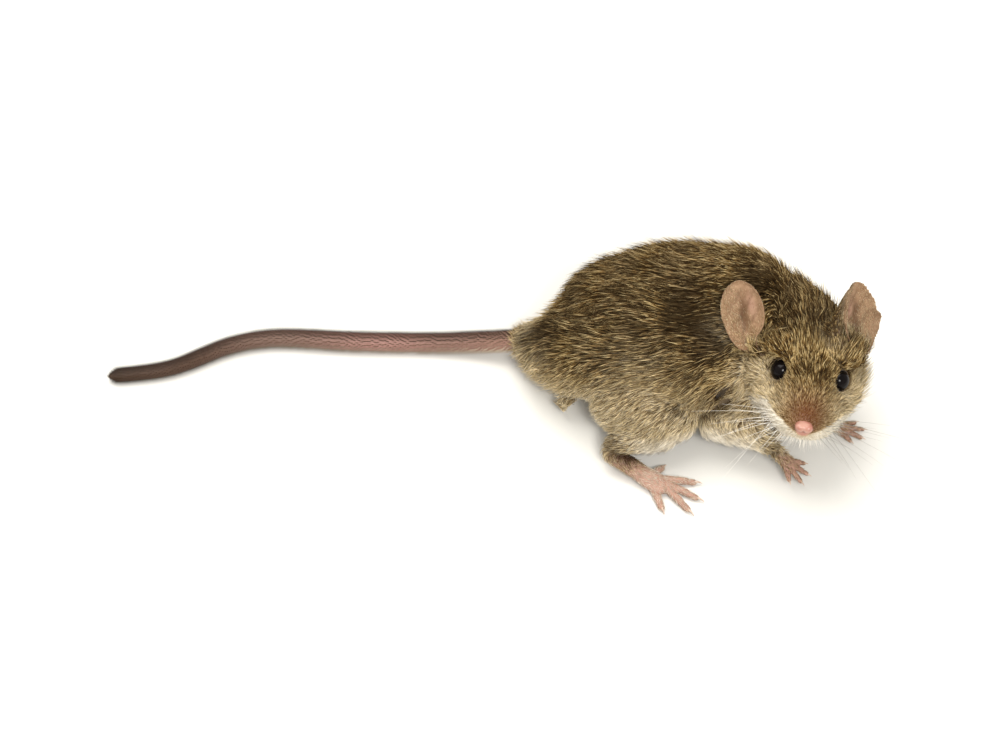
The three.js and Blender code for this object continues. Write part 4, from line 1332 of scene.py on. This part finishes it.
def coat_finish():
    """slate at the root with a buff band, among dark guard hairs, pale and rusty by place"""
    finish = Finish("ticked fur", 0.7, 0.04)
    along, tick, kind, lock = finish.attribute("hair")
    dark, pale, rust, grey = finish.attribute("tone")
    stray = finish.sum("MULTIPLY", finish.sum("SUBTRACT", tick, 0.5), 0.4)
    paler = finish.sum("MULTIPLY", finish.sum("SUBTRACT", 0.42, dark), 0.3)
    place = finish.sum("ADD", finish.sum("ADD", along, stray), paler)
    banded = finish.ramp(place, [(0.0, SLATE), (0.42, SLATE), (0.66, BUFF_DEEP), (0.86, BUFF),
                                 (1.0, BUFF)])
    banded = finish.mix(banded, GREY_BUFF, finish.sum("MULTIPLY", grey, along))
    guard = finish.ramp(along, [(0.0, SLATE), (0.5, BLACK_TIP), (1.0, BLACK_TIP)])
    # more dark guard hairs where the tone is dark, painted shade included
    is_guard = finish.sum("LESS_THAN", kind, dark)
    body = finish.mix(banded, guard, finish.sum("MULTIPLY", is_guard, 0.88))
    light = finish.ramp(along, [(0.0, BUFF_DEEP), (0.6, CREAM), (1.0, WHITE)])
    is_pale = finish.sum("MULTIPLY", pale, finish.sum("ADD", tick, 0.45), True)
    body = finish.mix(body, light, is_pale)
    snowy = finish.ramp(along, [(0.0, CREAM), (0.4, WHITE), (1.0, WHITE)])
    body = finish.mix(body, snowy, finish.past(pale, 0.78, 4))
    body = finish.mix(body, RUST, finish.sum("MULTIPLY", rust, 0.85))
    shade = finish.ramp(lock, [(0.0, (0.78, 0.75, 0.69)), (1.0, PLAIN)])
    body = finish.mix(body, shade, 1.0, "MULTIPLY")
    own = finish.ramp(tick, [(0.0, (0.36, 0.29, 0.19)), (0.5, (0.74, 0.70, 0.62)), (1.0, PLAIN)])
    own = finish.mix(own, PLAIN, finish.sum("MULTIPLY", pale, 0.6))
    finish.colour(finish.mix(body, own, 1.0, "MULTIPLY"))
    return finish.material


def skin_finish():
    """skin as the coat's markings under the fur, near black as painted shade under the darkest
    coat, and bare on feet, ears, tail, nose and lids
    """
    finish = Finish("mouse skin", SKIN_ROUGHNESS, 0.35)
    dark, pale, rust = finish.attribute("tone")[:3]
    foot, ear, tail, nose = finish.attribute("bare")
    blotch = finish.noise(900, 5)
    under = finish.mix((0.10, 0.066, 0.034), (0.42, 0.31, 0.19), pale)
    # near black under the darkest coat: painted shade in the gaps of the fur
    under = finish.mix(under, (0.012, 0.008, 0.005), finish.past(dark, 0.45, 2.5))
    under = finish.mix(under, (0.28, 0.14, 0.09), rust)
    foot_skin = finish.ramp(blotch, [(0.2, (0.285, 0.153, 0.115)), (0.8, (0.415, 0.245, 0.188))])
    ear_skin = finish.ramp(blotch, [(0.25, (0.22, 0.125, 0.065)), (0.75, (0.33, 0.205, 0.12))])
    nose_skin = finish.ramp(blotch, [(0.3, (0.36, 0.155, 0.115)), (0.7, (0.47, 0.26, 0.20))])
    # the tone's dark puts painted shade in the nostrils and the cleft
    nose_skin = finish.mix(nose_skin, (0.10, 0.02, 0.014), finish.sum("MULTIPLY", dark, 0.9))
    ear_skin = finish.mix(ear_skin, (0.36, 0.21, 0.15), finish.sum("MULTIPLY", rust, 0.7))
    # darker on the ears' furred backs, and painted shade in their hollows and folds
    ear_skin = finish.mix(ear_skin, (0.10, 0.045, 0.018), finish.sum("MULTIPLY", dark, 0.9))
    foot_skin = finish.mix(foot_skin, (0.14, 0.085, 0.055), finish.past(dark, 0.3, 1.1))
    colour = finish.mix(under, foot_skin, foot)
    colour = finish.mix(colour, ear_skin, ear)
    colour = finish.mix(colour, tail_colour(finish), tail)
    colour = finish.mix(colour, nose_skin, nose)
    colour = finish.mix(colour, (0.006, 0.005, 0.005), finish.number("lid"))
    finish.colour(colour)
    gloss = finish.sum("MULTIPLY", nose, -0.38)
    finish.feed(finish.shader.inputs["Roughness"], finish.sum("ADD", gloss, SKIN_ROUGHNESS))
    finish.bump(finish.noise(2600, 3), 0.00008, 0.35)
    return finish.material


def tail_colour(finish):
    """pinkish brown at the root, dark brown at the tip, and darker along its back"""
    run = finish.ramp(finish.number("tail_run"), [
        (0.0, (0.36, 0.21, 0.155)), (0.22, (0.25, 0.145, 0.115)), (0.36, (0.34, 0.19, 0.16)),
        (0.6, (0.20, 0.125, 0.098)), (0.85, (0.085, 0.048, 0.032)), (1.0, (0.055, 0.03, 0.017))])
    back = finish.ramp(finish.number("tail_back"), [(0.5, (1, 1, 1)), (0.95, (0.42, 0.38, 0.36))])
    return finish.mix(run, back, 1.0, "MULTIPLY")


def eye_finish():
    finish = Finish("wet black eye", 0.04, 0.11)
    finish.colour(finish.ramp(finish.noise(350, 2), [
        (0.35, (0.002, 0.0015, 0.0015)), (0.7, (0.006, 0.004, 0.004))]))
    return finish.material


def whisker_finish(name, light):
    """horny hair, at 1 nearly white"""
    finish = Finish(name, 0.4, 0.3)
    tint = finish.noise(400, 1)
    finish.colour(finish.ramp(tint, [(0.2, (light, 0.97 * light, 0.9 * light)),
                                     (0.8, (0.93 * light, 0.87 * light, 0.77 * light))]))
    return finish.material


def scale_finish():
    finish = Finish("tail scales", 0.5, 0.2)
    flecks = finish.ramp(finish.noise(1800, 2), [(0.3, (0.8, 0.78, 0.76)), (0.7, (1, 1, 1))])
    finish.colour(finish.mix(tail_colour(finish), flecks, 1.0, "MULTIPLY"))
    return finish.material


def bristle_finish():
    """pale under the tail, dark on its back and towards its tip"""
    finish = Finish("tail bristles", 0.55, 0.1)
    round_tail = finish.ramp(finish.number("tail_back"), [
        (0.15, (0.50, 0.41, 0.32)), (0.42, (0.22, 0.13, 0.10)), (0.72, (0.06, 0.038, 0.026)),
        (1.0, (0.022, 0.014, 0.009))])
    finish.colour(finish.mix(round_tail, (0.03, 0.018, 0.012), finish.number("tail_run")))
    return finish.material


def claw_finish():
    finish = Finish("pale horn", 0.3, 0.5)
    finish.colour(finish.ramp(finish.noise(1500, 2), [
        (0.3, (0.42, 0.30, 0.23)), (0.7, (0.55, 0.43, 0.35))]))
    return finish.material


def floor_finish():
    finish = Finish("studio floor", 0.9, 0.1)
    finish.colour(finish.ramp(finish.noise(6, 2), [
        (0.2, (0.64, 0.635, 0.615)), (0.8, (0.67, 0.665, 0.645))]))
    return finish.material


def dressed(piece, material):
    """the piece with its material and its slot, riding on the one body"""
    piece.data.materials.clear()
    piece.data.materials.append(material)
    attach(piece, "root")
    return piece


# --------------------------------------------------------------------- the pieces


HEAD_MIDDLE, BODY_MIDDLE = -2.0, 11.5  # heights that the coat's bake map turns round


def make_skin(skin):
    """the one skin, in place of every solid but the eyes"""
    mesh = mesh_of("skin", skin.points, skin.triangles)
    zones = skin.zones
    count = len(skin.points)
    nose = np.zeros(count)
    nose[skin.nose_from:skin.lids_from] = 1
    nose = np.maximum(nose, (1 - smooth(zones.from_nose, 1.0, 1.6)) * (zones.head > 0.5))
    lid = np.zeros(count)
    lid[skin.lids_from:] = 1
    ears = smooth(zones.ears, 0.3, 0.6) * (1 - 0.8 * zones.share["ear_fold"])
    bare = np.stack([zones.feet, ears, smooth(zones.tail, 0.3, 0.6), nose], 1)
    run, back = np.zeros((2, count))
    near = zones.tail > 0.1
    run[near], back[near] = tail_traits(skin.points[near])
    set_attribute(mesh, "tone", skin.tone)
    set_attribute(mesh, "bare", bare)
    set_attribute(mesh, "tail_run", run)
    set_attribute(mesh, "tail_back", back)
    set_attribute(mesh, "lid", lid)
    piece = dressed(add_object("skin", mesh), skin_finish())
    fleshy = [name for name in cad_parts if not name.startswith("eye_")]
    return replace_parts(piece, *fleshy)


def make_coat(coat):
    """the tufts of head, limbs and body, each in as few pieces as their triangles allow"""
    material = coat_finish()
    traits = coat.traits
    groups = {
        "head": np.flatnonzero(traits["head"] + traits["ears"] > 0.5),
        "limbs": np.flatnonzero(traits["legs"] + traits["feet"] > 0.5),
    }
    taken = np.concatenate(list(groups.values()))
    groups["body"] = np.setdiff1d(np.arange(len(coat.roots)), taken)
    for group, chosen in groups.items():
        if group == "head":
            run, aside, rise = within(coat.roots[chosen], HEAD).T
            rise = rise - HEAD_MIDDLE
        else:
            run, aside, rise = coat.roots[chosen].T
            rise = rise - BODY_MIDDLE
        by_run = np.argsort(run)
        order = chosen[by_run]
        turn = (np.arctan2(aside, rise) / (2 * math.pi) + 0.5)[by_run]
        bands = np.array_split(np.arange(len(order)), math.ceil(len(order) / TUFTS_IN_PIECE))
        for k, band in enumerate(bands):
            rank = np.linspace(0, 1, len(band))
            charts = np.stack([rank, np.clip(turn[band], 0, 1)], 1)
            name = f"coat_{group}_{k + 1}"
            points, triangles, hair, tone, uv = coat.mesh_arrays(order[band], charts)
            mesh = mesh_of(name, points, triangles)
            set_attribute(mesh, "hair", hair)
            set_attribute(mesh, "tone", tone)
            layer = mesh.uv_layers.new(name="OFBake")
            layer.data.foreach_set("uv", uv[triangles.ravel()].astype(np.float32).ravel())
            dressed(add_object(name, mesh), material)


def make_eye(side, end):
    """a glossy eyeball, its front turned the way that the eye looks"""
    rings, sides = 36, 48
    angle = np.linspace(0, math.pi, rings + 1)[1:-1]
    turn = np.arange(sides) / sides * 2 * math.pi
    ring = np.stack([np.sin(angle)[:, None] * np.cos(turn), np.sin(angle)[:, None] * np.sin(turn),
                     np.repeat(np.cos(angle)[:, None], sides, 1)], -1).reshape(-1, 3)
    points = np.concatenate([ring, [[0, 0, 1], [0, 0, -1]]])
    points[:, 2] *= np.where(points[:, 2] > 0, EYE_BULGE, 1)
    look = eye_look(side)
    across = unit(np.cross(UP, look))
    turnover = np.stack([across, np.cross(look, across), look], 1)
    points = placed(EYE_RADIUS * points @ turnover.T + EYE_CENTRES[side], HEAD)
    name = "eyeball_" + end
    mesh = mesh_of(name, points, tube_faces(rings - 1, sides)[:, ::-1])
    piece = dressed(add_object(name, mesh), eye_finish())
    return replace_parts(piece, "eye_" + end)


def make_claws():
    claws = [(claw.points, claw.faces) for name in FEET for claw in foot_lofts(name)[1]]
    mesh = mesh_of("claws", *joined(claws))
    return dressed(add_object("claws", mesh), claw_finish())


# ----------------------------------------------- what repeats along a line or a ring


class Growth:
    """a Geometry Nodes tree with named inputs, run once and turned into a plain mesh"""

    def __init__(self, name, **inputs):
        self.tree = bpy.data.node_groups.new(name, "GeometryNodeTree")
        face = self.tree.interface
        face.new_socket("Geometry", in_out="INPUT", socket_type="NodeSocketGeometry")
        face.new_socket("Geometry", in_out="OUTPUT", socket_type="NodeSocketGeometry")
        self.sockets = {}
        for label, kind in inputs.items():
            socket = face.new_socket(label, in_out="INPUT", socket_type="NodeSocket" + kind)
            self.sockets[label] = socket.identifier
        self.start = self.tree.nodes.new("NodeGroupInput")
        self.end = self.tree.nodes.new("NodeGroupOutput")

    def given(self, label):
        return self.start.outputs[label]

    def node(self, kind, settings=None, out=0, **inputs):
        """a node with its inputs set or linked, by their names; its output is handed back"""
        made = self.tree.nodes.new(kind)
        for name, value in (settings or {}).items():
            setattr(made, name, value)
        for name, value in inputs.items():
            name = name.replace("_", " ")
            self.feed(next(s for s in made.inputs if s.name == name and s.enabled), value)
        return made.outputs[out]

    def feed(self, socket, value):
        if isinstance(value, bpy.types.NodeSocket):
            self.tree.links.new(value, socket)
        else:
            socket.default_value = value

    def sum(self, operation, a, b):
        made = self.tree.nodes.new("ShaderNodeMath")
        made.operation = operation
        self.feed(made.inputs[0], a)
        self.feed(made.inputs[1], b)
        return made.outputs[0]

    def finish(self, geometry):
        """the tree ends with its instances made real and their material set"""
        whole = self.node("GeometryNodeRealizeInstances", Geometry=geometry)
        covered = self.node("GeometryNodeSetMaterial", Geometry=whole, Material=self.given("Coat"))
        self.tree.links.new(covered, self.end.inputs[0])

    def run(self, mesh, **values):
        """the mesh that grows from a start mesh"""
        piece = add_object(self.tree.name, mesh)
        growth = piece.modifiers.new(self.tree.name, "NODES")
        growth.node_group = self.tree
        for label, value in values.items():
            growth[self.sockets[label]] = value
        grown = evaluated_mesh(piece)
        piece.modifiers.remove(growth)
        bpy.data.objects.remove(piece)
        return grown


def line_mesh(name, lines, girths):
    """open lines as edges, with the girth at each of their points"""
    points = np.concatenate(lines)
    mesh = bpy.data.meshes.new(name)
    edges, count = [], 0
    for line in lines:
        edges += [(count + k, count + k + 1) for k in range(len(line) - 1)]
        count += len(line)
    mesh.from_pydata(((points + SHIFT) * MM).tolist(), edges, [])
    set_attribute(mesh, "girth", np.concatenate(girths) * MM)
    return mesh


def hair_growth():
    """round tapered hairs along lines"""
    growth = Growth("hairs along lines", Sides="Int", Coat="Material")
    curve = growth.node("GeometryNodeMeshToCurve", Mesh=growth.given("Geometry"))
    girth = growth.node("GeometryNodeInputNamedAttribute", {"data_type": "FLOAT"}, Name="girth")
    ring = growth.node("GeometryNodeCurvePrimitiveCircle", Resolution=growth.given("Sides"),
                       Radius=1.0)
    growth.finish(growth.node("GeometryNodeCurveToMesh", Curve=curve, Profile_Curve=ring,
                              Scale=girth, Fill_Caps=True))
    return growth


def ring_growth():
    """rings of a small piece round a line, each ring turned against the last"""
    growth = Growth("rings along a line", Spacing="Float", Count="Int", Piece="Object",
                    Scatter="Float", Coat="Material")
    curve = growth.node("GeometryNodeMeshToCurve", Mesh=growth.given("Geometry"))
    curve = growth.node("GeometryNodeResampleCurve", {"mode": "LENGTH"}, Curve=curve,
                        Length=growth.given("Spacing"))
    piece = growth.node("GeometryNodeObjectInfo", out=4, Object=growth.given("Piece"))
    circle = growth.node("GeometryNodeMeshCircle", Vertices=growth.given("Count"), Radius=1.0)
    outwards = growth.node("FunctionNodeAlignRotationToVector", {"axis": "X", "pivot_axis": "Z"},
                           Vector=growth.node("GeometryNodeInputPosition"))
    ring = growth.node("GeometryNodeInstanceOnPoints", Points=circle, Instance=piece,
                       Rotation=outwards)
    facing = growth.node("FunctionNodeAlignRotationToVector", {"axis": "Z", "pivot_axis": "AUTO"},
                         Vector=growth.node("GeometryNodeInputTangent"))
    half_step = growth.sum("DIVIDE", math.pi, growth.given("Count"))
    turn = growth.sum("MULTIPLY", growth.node("GeometryNodeInputIndex"), half_step)
    stray = growth.node("FunctionNodeRandomValue", {"data_type": "FLOAT"}, out=1, Min=0.0,
                        Max=growth.given("Scatter"), Seed=SEED)
    spin = growth.node("FunctionNodeAxisAngleToRotation", Axis=(0, 0, 1),
                       Angle=growth.sum("ADD", turn, stray))
    facing = growth.node("FunctionNodeRotateRotation", {"rotation_space": "LOCAL"}, Rotation=facing,
                         Rotate_By=spin)
    girth = growth.node("GeometryNodeInputNamedAttribute", {"data_type": "FLOAT"}, Name="girth")
    growth.finish(growth.node("GeometryNodeInstanceOnPoints", Points=curve, Instance=ring,
                              Rotation=facing, Scale=girth))
    return growth


# whisker rows of each side, from the top: (height, the way they point, how many)
WHISKERS = {
    -1: [(-2.6, (0.15, -1.0, 0.05), 3), (-3.3, (0.2, -0.95, -0.15), 4),
         (-4.1, (0.25, -0.8, -0.45), 4), (-4.8, (0.3, -0.55, -0.8), 4)],
    1: [(-2.4, (-0.1, 0.98, 0.12), 3), (-3.1, (0.05, 1.0, -0.03), 4),
        (-4.0, (0.15, 0.9, -0.26), 4), (-4.8, (0.2, 0.75, -0.6), 4)],
}
WHISKER_GIRTH = 0.034  # radius at the root
CHIN_GIRTH = 0.75 * WHISKER_GIRTH
CHIN_HAIRS = 220
HAIR_POINTS = 12  # along each whisker and chin hair


def rooted(skin, places):
    """the points of the skin nearest to places given in the head's frame"""
    surface = BVHTree.FromPolygons(skin.points[:skin.core].tolist(),
                                   skin.triangles[:skin.core_faces].tolist())
    return [np.array(surface.find_nearest(placed(np.array(place), HEAD).tolist())[0])
            for place in places]


def hair_line(root, way, bend, length):
    """points along a bent hair, its way and its bend given in the head's frame"""
    part = np.linspace(0, 1, HAIR_POINTS)[:, None]
    return root + ((part * way + part**2 * bend) * length) @ HEAD[:3, :3].T


def whisker_lines(skin, side):
    """the whiskers of one side, the long ones furthest back"""
    chance = np.random.default_rng(SEED + side)
    places, hairs = [], []
    for level, way, count in WHISKERS[side]:
        for k in range(count):
            places.append([8.4 - 1.05 * k, side * (2.9 + 0.5 * k), level])
            length = (5.5 + 2.2 * k) * chance.uniform(0.85, 1.15)
            stray = unit(unit(way) + chance.uniform(-0.12, 0.12, 3))
            bend = np.array([-0.12, 0, -0.14]) * chance.uniform(0.2, 1.4)
            hairs.append((stray, bend, length))
    return [hair_line(root, *hair) for root, hair in zip(rooted(skin, places), hairs)]


def chin_lines(skin):
    """short pale hairs that hang from the lips and the chin"""
    chance = np.random.default_rng(SEED)
    places, hairs = [], []
    for _ in range(CHIN_HAIRS):
        turn = chance.uniform(-1.15, 1.15)
        ahead = 9.8 - 4.4 * turn**2 - chance.uniform(0, 1.4)
        places.append([ahead, 4.6 * turn, -5.2 + 1.2 * turn**2])
        forward = 0.25 + chance.uniform(-0.2, 0.2)
        way = unit([forward, 0.75 * turn + chance.uniform(-0.15, 0.15), -1])
        bend = np.array([-0.3, 0, 0.05]) * chance.uniform(0.2, 1)
        hairs.append((way, bend, chance.uniform(0.8, 2.6)))
    return [hair_line(root, *hair) for root, hair in zip(rooted(skin, places), hairs)]


def make_whiskers(skin):
    """whiskers of both sides and the hairs of the lips and chin, each thinning to its tip"""
    growth = hair_growth()
    pale, dark = whisker_finish("pale whisker", 0.85), whisker_finish("dark whisker", 0.2)
    for name, lines, material, thick in (
            ("whiskers_right", whisker_lines(skin, -1), pale, WHISKER_GIRTH),
            ("whiskers_left", whisker_lines(skin, 1), dark, WHISKER_GIRTH),
            ("chin_hairs", chin_lines(skin), pale, CHIN_GIRTH)):
        girth = thick * (1 - 0.8 * np.linspace(0, 1, HAIR_POINTS))
        start = line_mesh(name, lines, [girth] * len(lines))
        mesh = growth.run(start, Sides=5, Coat=material)
        dressed(add_object(name, mesh), material)


SCALE_SPACING = 0.42  # between the rings of scales on the tail
SCALES_ROUND = 14
BRISTLES_ROUND = 15
COVER_START = 0.06  # share of the tail that the coat hides
TAIL_TIP = 0.022  # share of the tail over which its tip is rounded
FLOOR_GAP = 0.03  # a scale or bristle that comes lower is left out


def scale_mesh():
    """one scale for a tail of radius 1: outwards is +X and the tip of the tail is +Z"""
    half, length = math.pi / SCALES_ROUND * 0.93, 0.36
    points = []
    for out, low in ((0.035, 0), (-0.05, 1)):
        for z, lift in ((-length / 2, -0.02), (length / 2, 0.03 if not low else 0)):
            for k in (-1, 0, 1):
                across = half * k * (0.8 if z > 0 else 1)
                points.append((math.cos(across) - 1 + out + lift - 0.02 * abs(k) * (1 - low),
                               math.sin(across), z))
    faces = [(0, 1, 4, 3), (1, 2, 5, 4), (6, 9, 10, 7), (7, 10, 11, 8), (0, 6, 7, 1), (1, 7, 8, 2),
             (3, 4, 10, 9), (4, 5, 11, 10), (0, 3, 9, 6), (2, 8, 11, 5)]
    mesh = bpy.data.meshes.new("scale")
    mesh.from_pydata(points, [], [face[::-1] for face in faces])
    return mesh


def bristle_mesh():
    """one bristle for a tail of radius 1, leaning towards the tip of the tail"""
    points = []
    for out, along, thick in ((-0.02, 0.0, 0.075), (0.17, 0.15, 0.066)):
        points += [(out, thick * math.cos(turn), along + thick * math.sin(turn))
                   for turn in (0, 2.094, 4.189)]
    points.append((0.40, 0.03, 0.36))
    faces = [(0, 1, 2), (1, 0, 3, 4), (2, 1, 4, 5), (0, 2, 5, 3), (4, 3, 6), (5, 4, 6), (3, 5, 6)]
    mesh = bpy.data.meshes.new("bristle")
    mesh.from_pydata(points, [], faces)
    return mesh


def make_tail_cover():
    """rings of scales with bristles between them, clear of the floor"""
    part = TAIL_PARTS > COVER_START
    radius = tail_radius(TAIL_PARTS) * np.sqrt(np.clip((1 - TAIL_PARTS) / TAIL_TIP, 0.05, 1))
    growth = ring_growth()
    for name, seed_mesh, count, scatter, material in (
            ("tail_scales", scale_mesh(), SCALES_ROUND, 0.0, scale_finish()),
            ("tail_bristles", bristle_mesh(), BRISTLES_ROUND, 0.5, bristle_finish())):
        seed = add_object("seed", seed_mesh)
        start = line_mesh(name, [TAIL_POINTS[part]], [radius[part]])
        mesh = growth.run(start, Spacing=SCALE_SPACING * MM, Count=count, Piece=seed,
                          Scatter=scatter, Coat=material)
        each = len(seed_mesh.vertices)
        points, faces = points_of(mesh) / MM - SHIFT, triangles_of(mesh)
        clear = np.repeat(points[:, 2].reshape(-1, each).min(1) >= FLOOR_GAP, each)
        number = np.cumsum(clear) - 1
        points, faces = points[clear], number[faces[clear[faces[:, 0]]]]
        whole = mesh_of(name, points, faces)
        whole.shade_flat()
        run, back = tail_traits(points)
        set_attribute(whole, "tail_run", run)
        set_attribute(whole, "tail_back", back)
        dressed(add_object(name, whole), material)
        bpy.data.objects.remove(seed)


coat = Coat(skin)
make_skin(skin)
make_coat(coat)
make_eye(1, "left")
make_eye(-1, "right")
make_claws()
make_whiskers(skin)
make_tail_cover()

# ------------------------------------------------------------- floor, light, camera

CAMERA_RISE = 50  # degrees above the horizon
CAMERA_AWAY = 520
CAMERA_LENS = 113.256
SENSOR_WIDTH = 36
FLOOR_HALF = 1.5  # metres, as are the places and sizes of the lights


def make_floor():
    mesh = bpy.data.meshes.new("floor")
    corners = [(x * FLOOR_HALF, y * FLOOR_HALF, 0) for x, y in ((-1, -1), (1, -1), (1, 1), (-1, 1))]
    mesh.from_pydata(corners, [], [(0, 1, 2, 3)])
    mesh.materials.append(floor_finish())
    add_object("floor", mesh)


def make_light(name, place, target, size, power):
    light = bpy.data.lights.new(name, "AREA")
    light.shape = "SQUARE"
    light.size = size
    light.energy = power
    light.color = (1, 0.97, 0.92)
    lamp = add_object(name, light)
    lamp.location = place
    lamp.rotation_euler = (Vector(target) - Vector(place)).to_track_quat("-Z", "Y").to_euler()


def make_world(strength):
    world = bpy.data.worlds.new("studio")
    world.use_nodes = True
    sky = world.node_tree.nodes["Background"]
    sky.inputs["Color"].default_value = (1, 0.98, 0.93, 1)
    sky.inputs["Strength"].default_value = strength
    bpy.context.scene.world = world


def make_camera():
    rise = math.radians(CAMERA_RISE)
    camera = bpy.data.cameras.new("camera")
    camera.lens = CAMERA_LENS
    camera.sensor_width = SENSOR_WIDTH
    place = np.array([0, -CAMERA_AWAY * math.cos(rise), CAMERA_AWAY * math.sin(rise)])
    view = add_object("camera", camera)
    view.location = (place + SHIFT) * MM
    view.rotation_euler = (math.radians(90 - CAMERA_RISE), 0, 0)
    bpy.context.scene.camera = view


make_floor()
make_world(0.75)
make_light("overhead", (-0.1, 0.15, 0.6), (0.02, 0, 0.01), 0.5, 4.4)
make_light("front", (0.12, -0.45, 0.5), (0.03, 0, 0.01), 0.2, 3.0)
make_light("catch", (0.13, -0.45, 0.47), (0.05, -0.01, 0.01), 0.03, 0.45)
make_camera()
bpy.context.scene.view_settings.view_transform = "Standard"
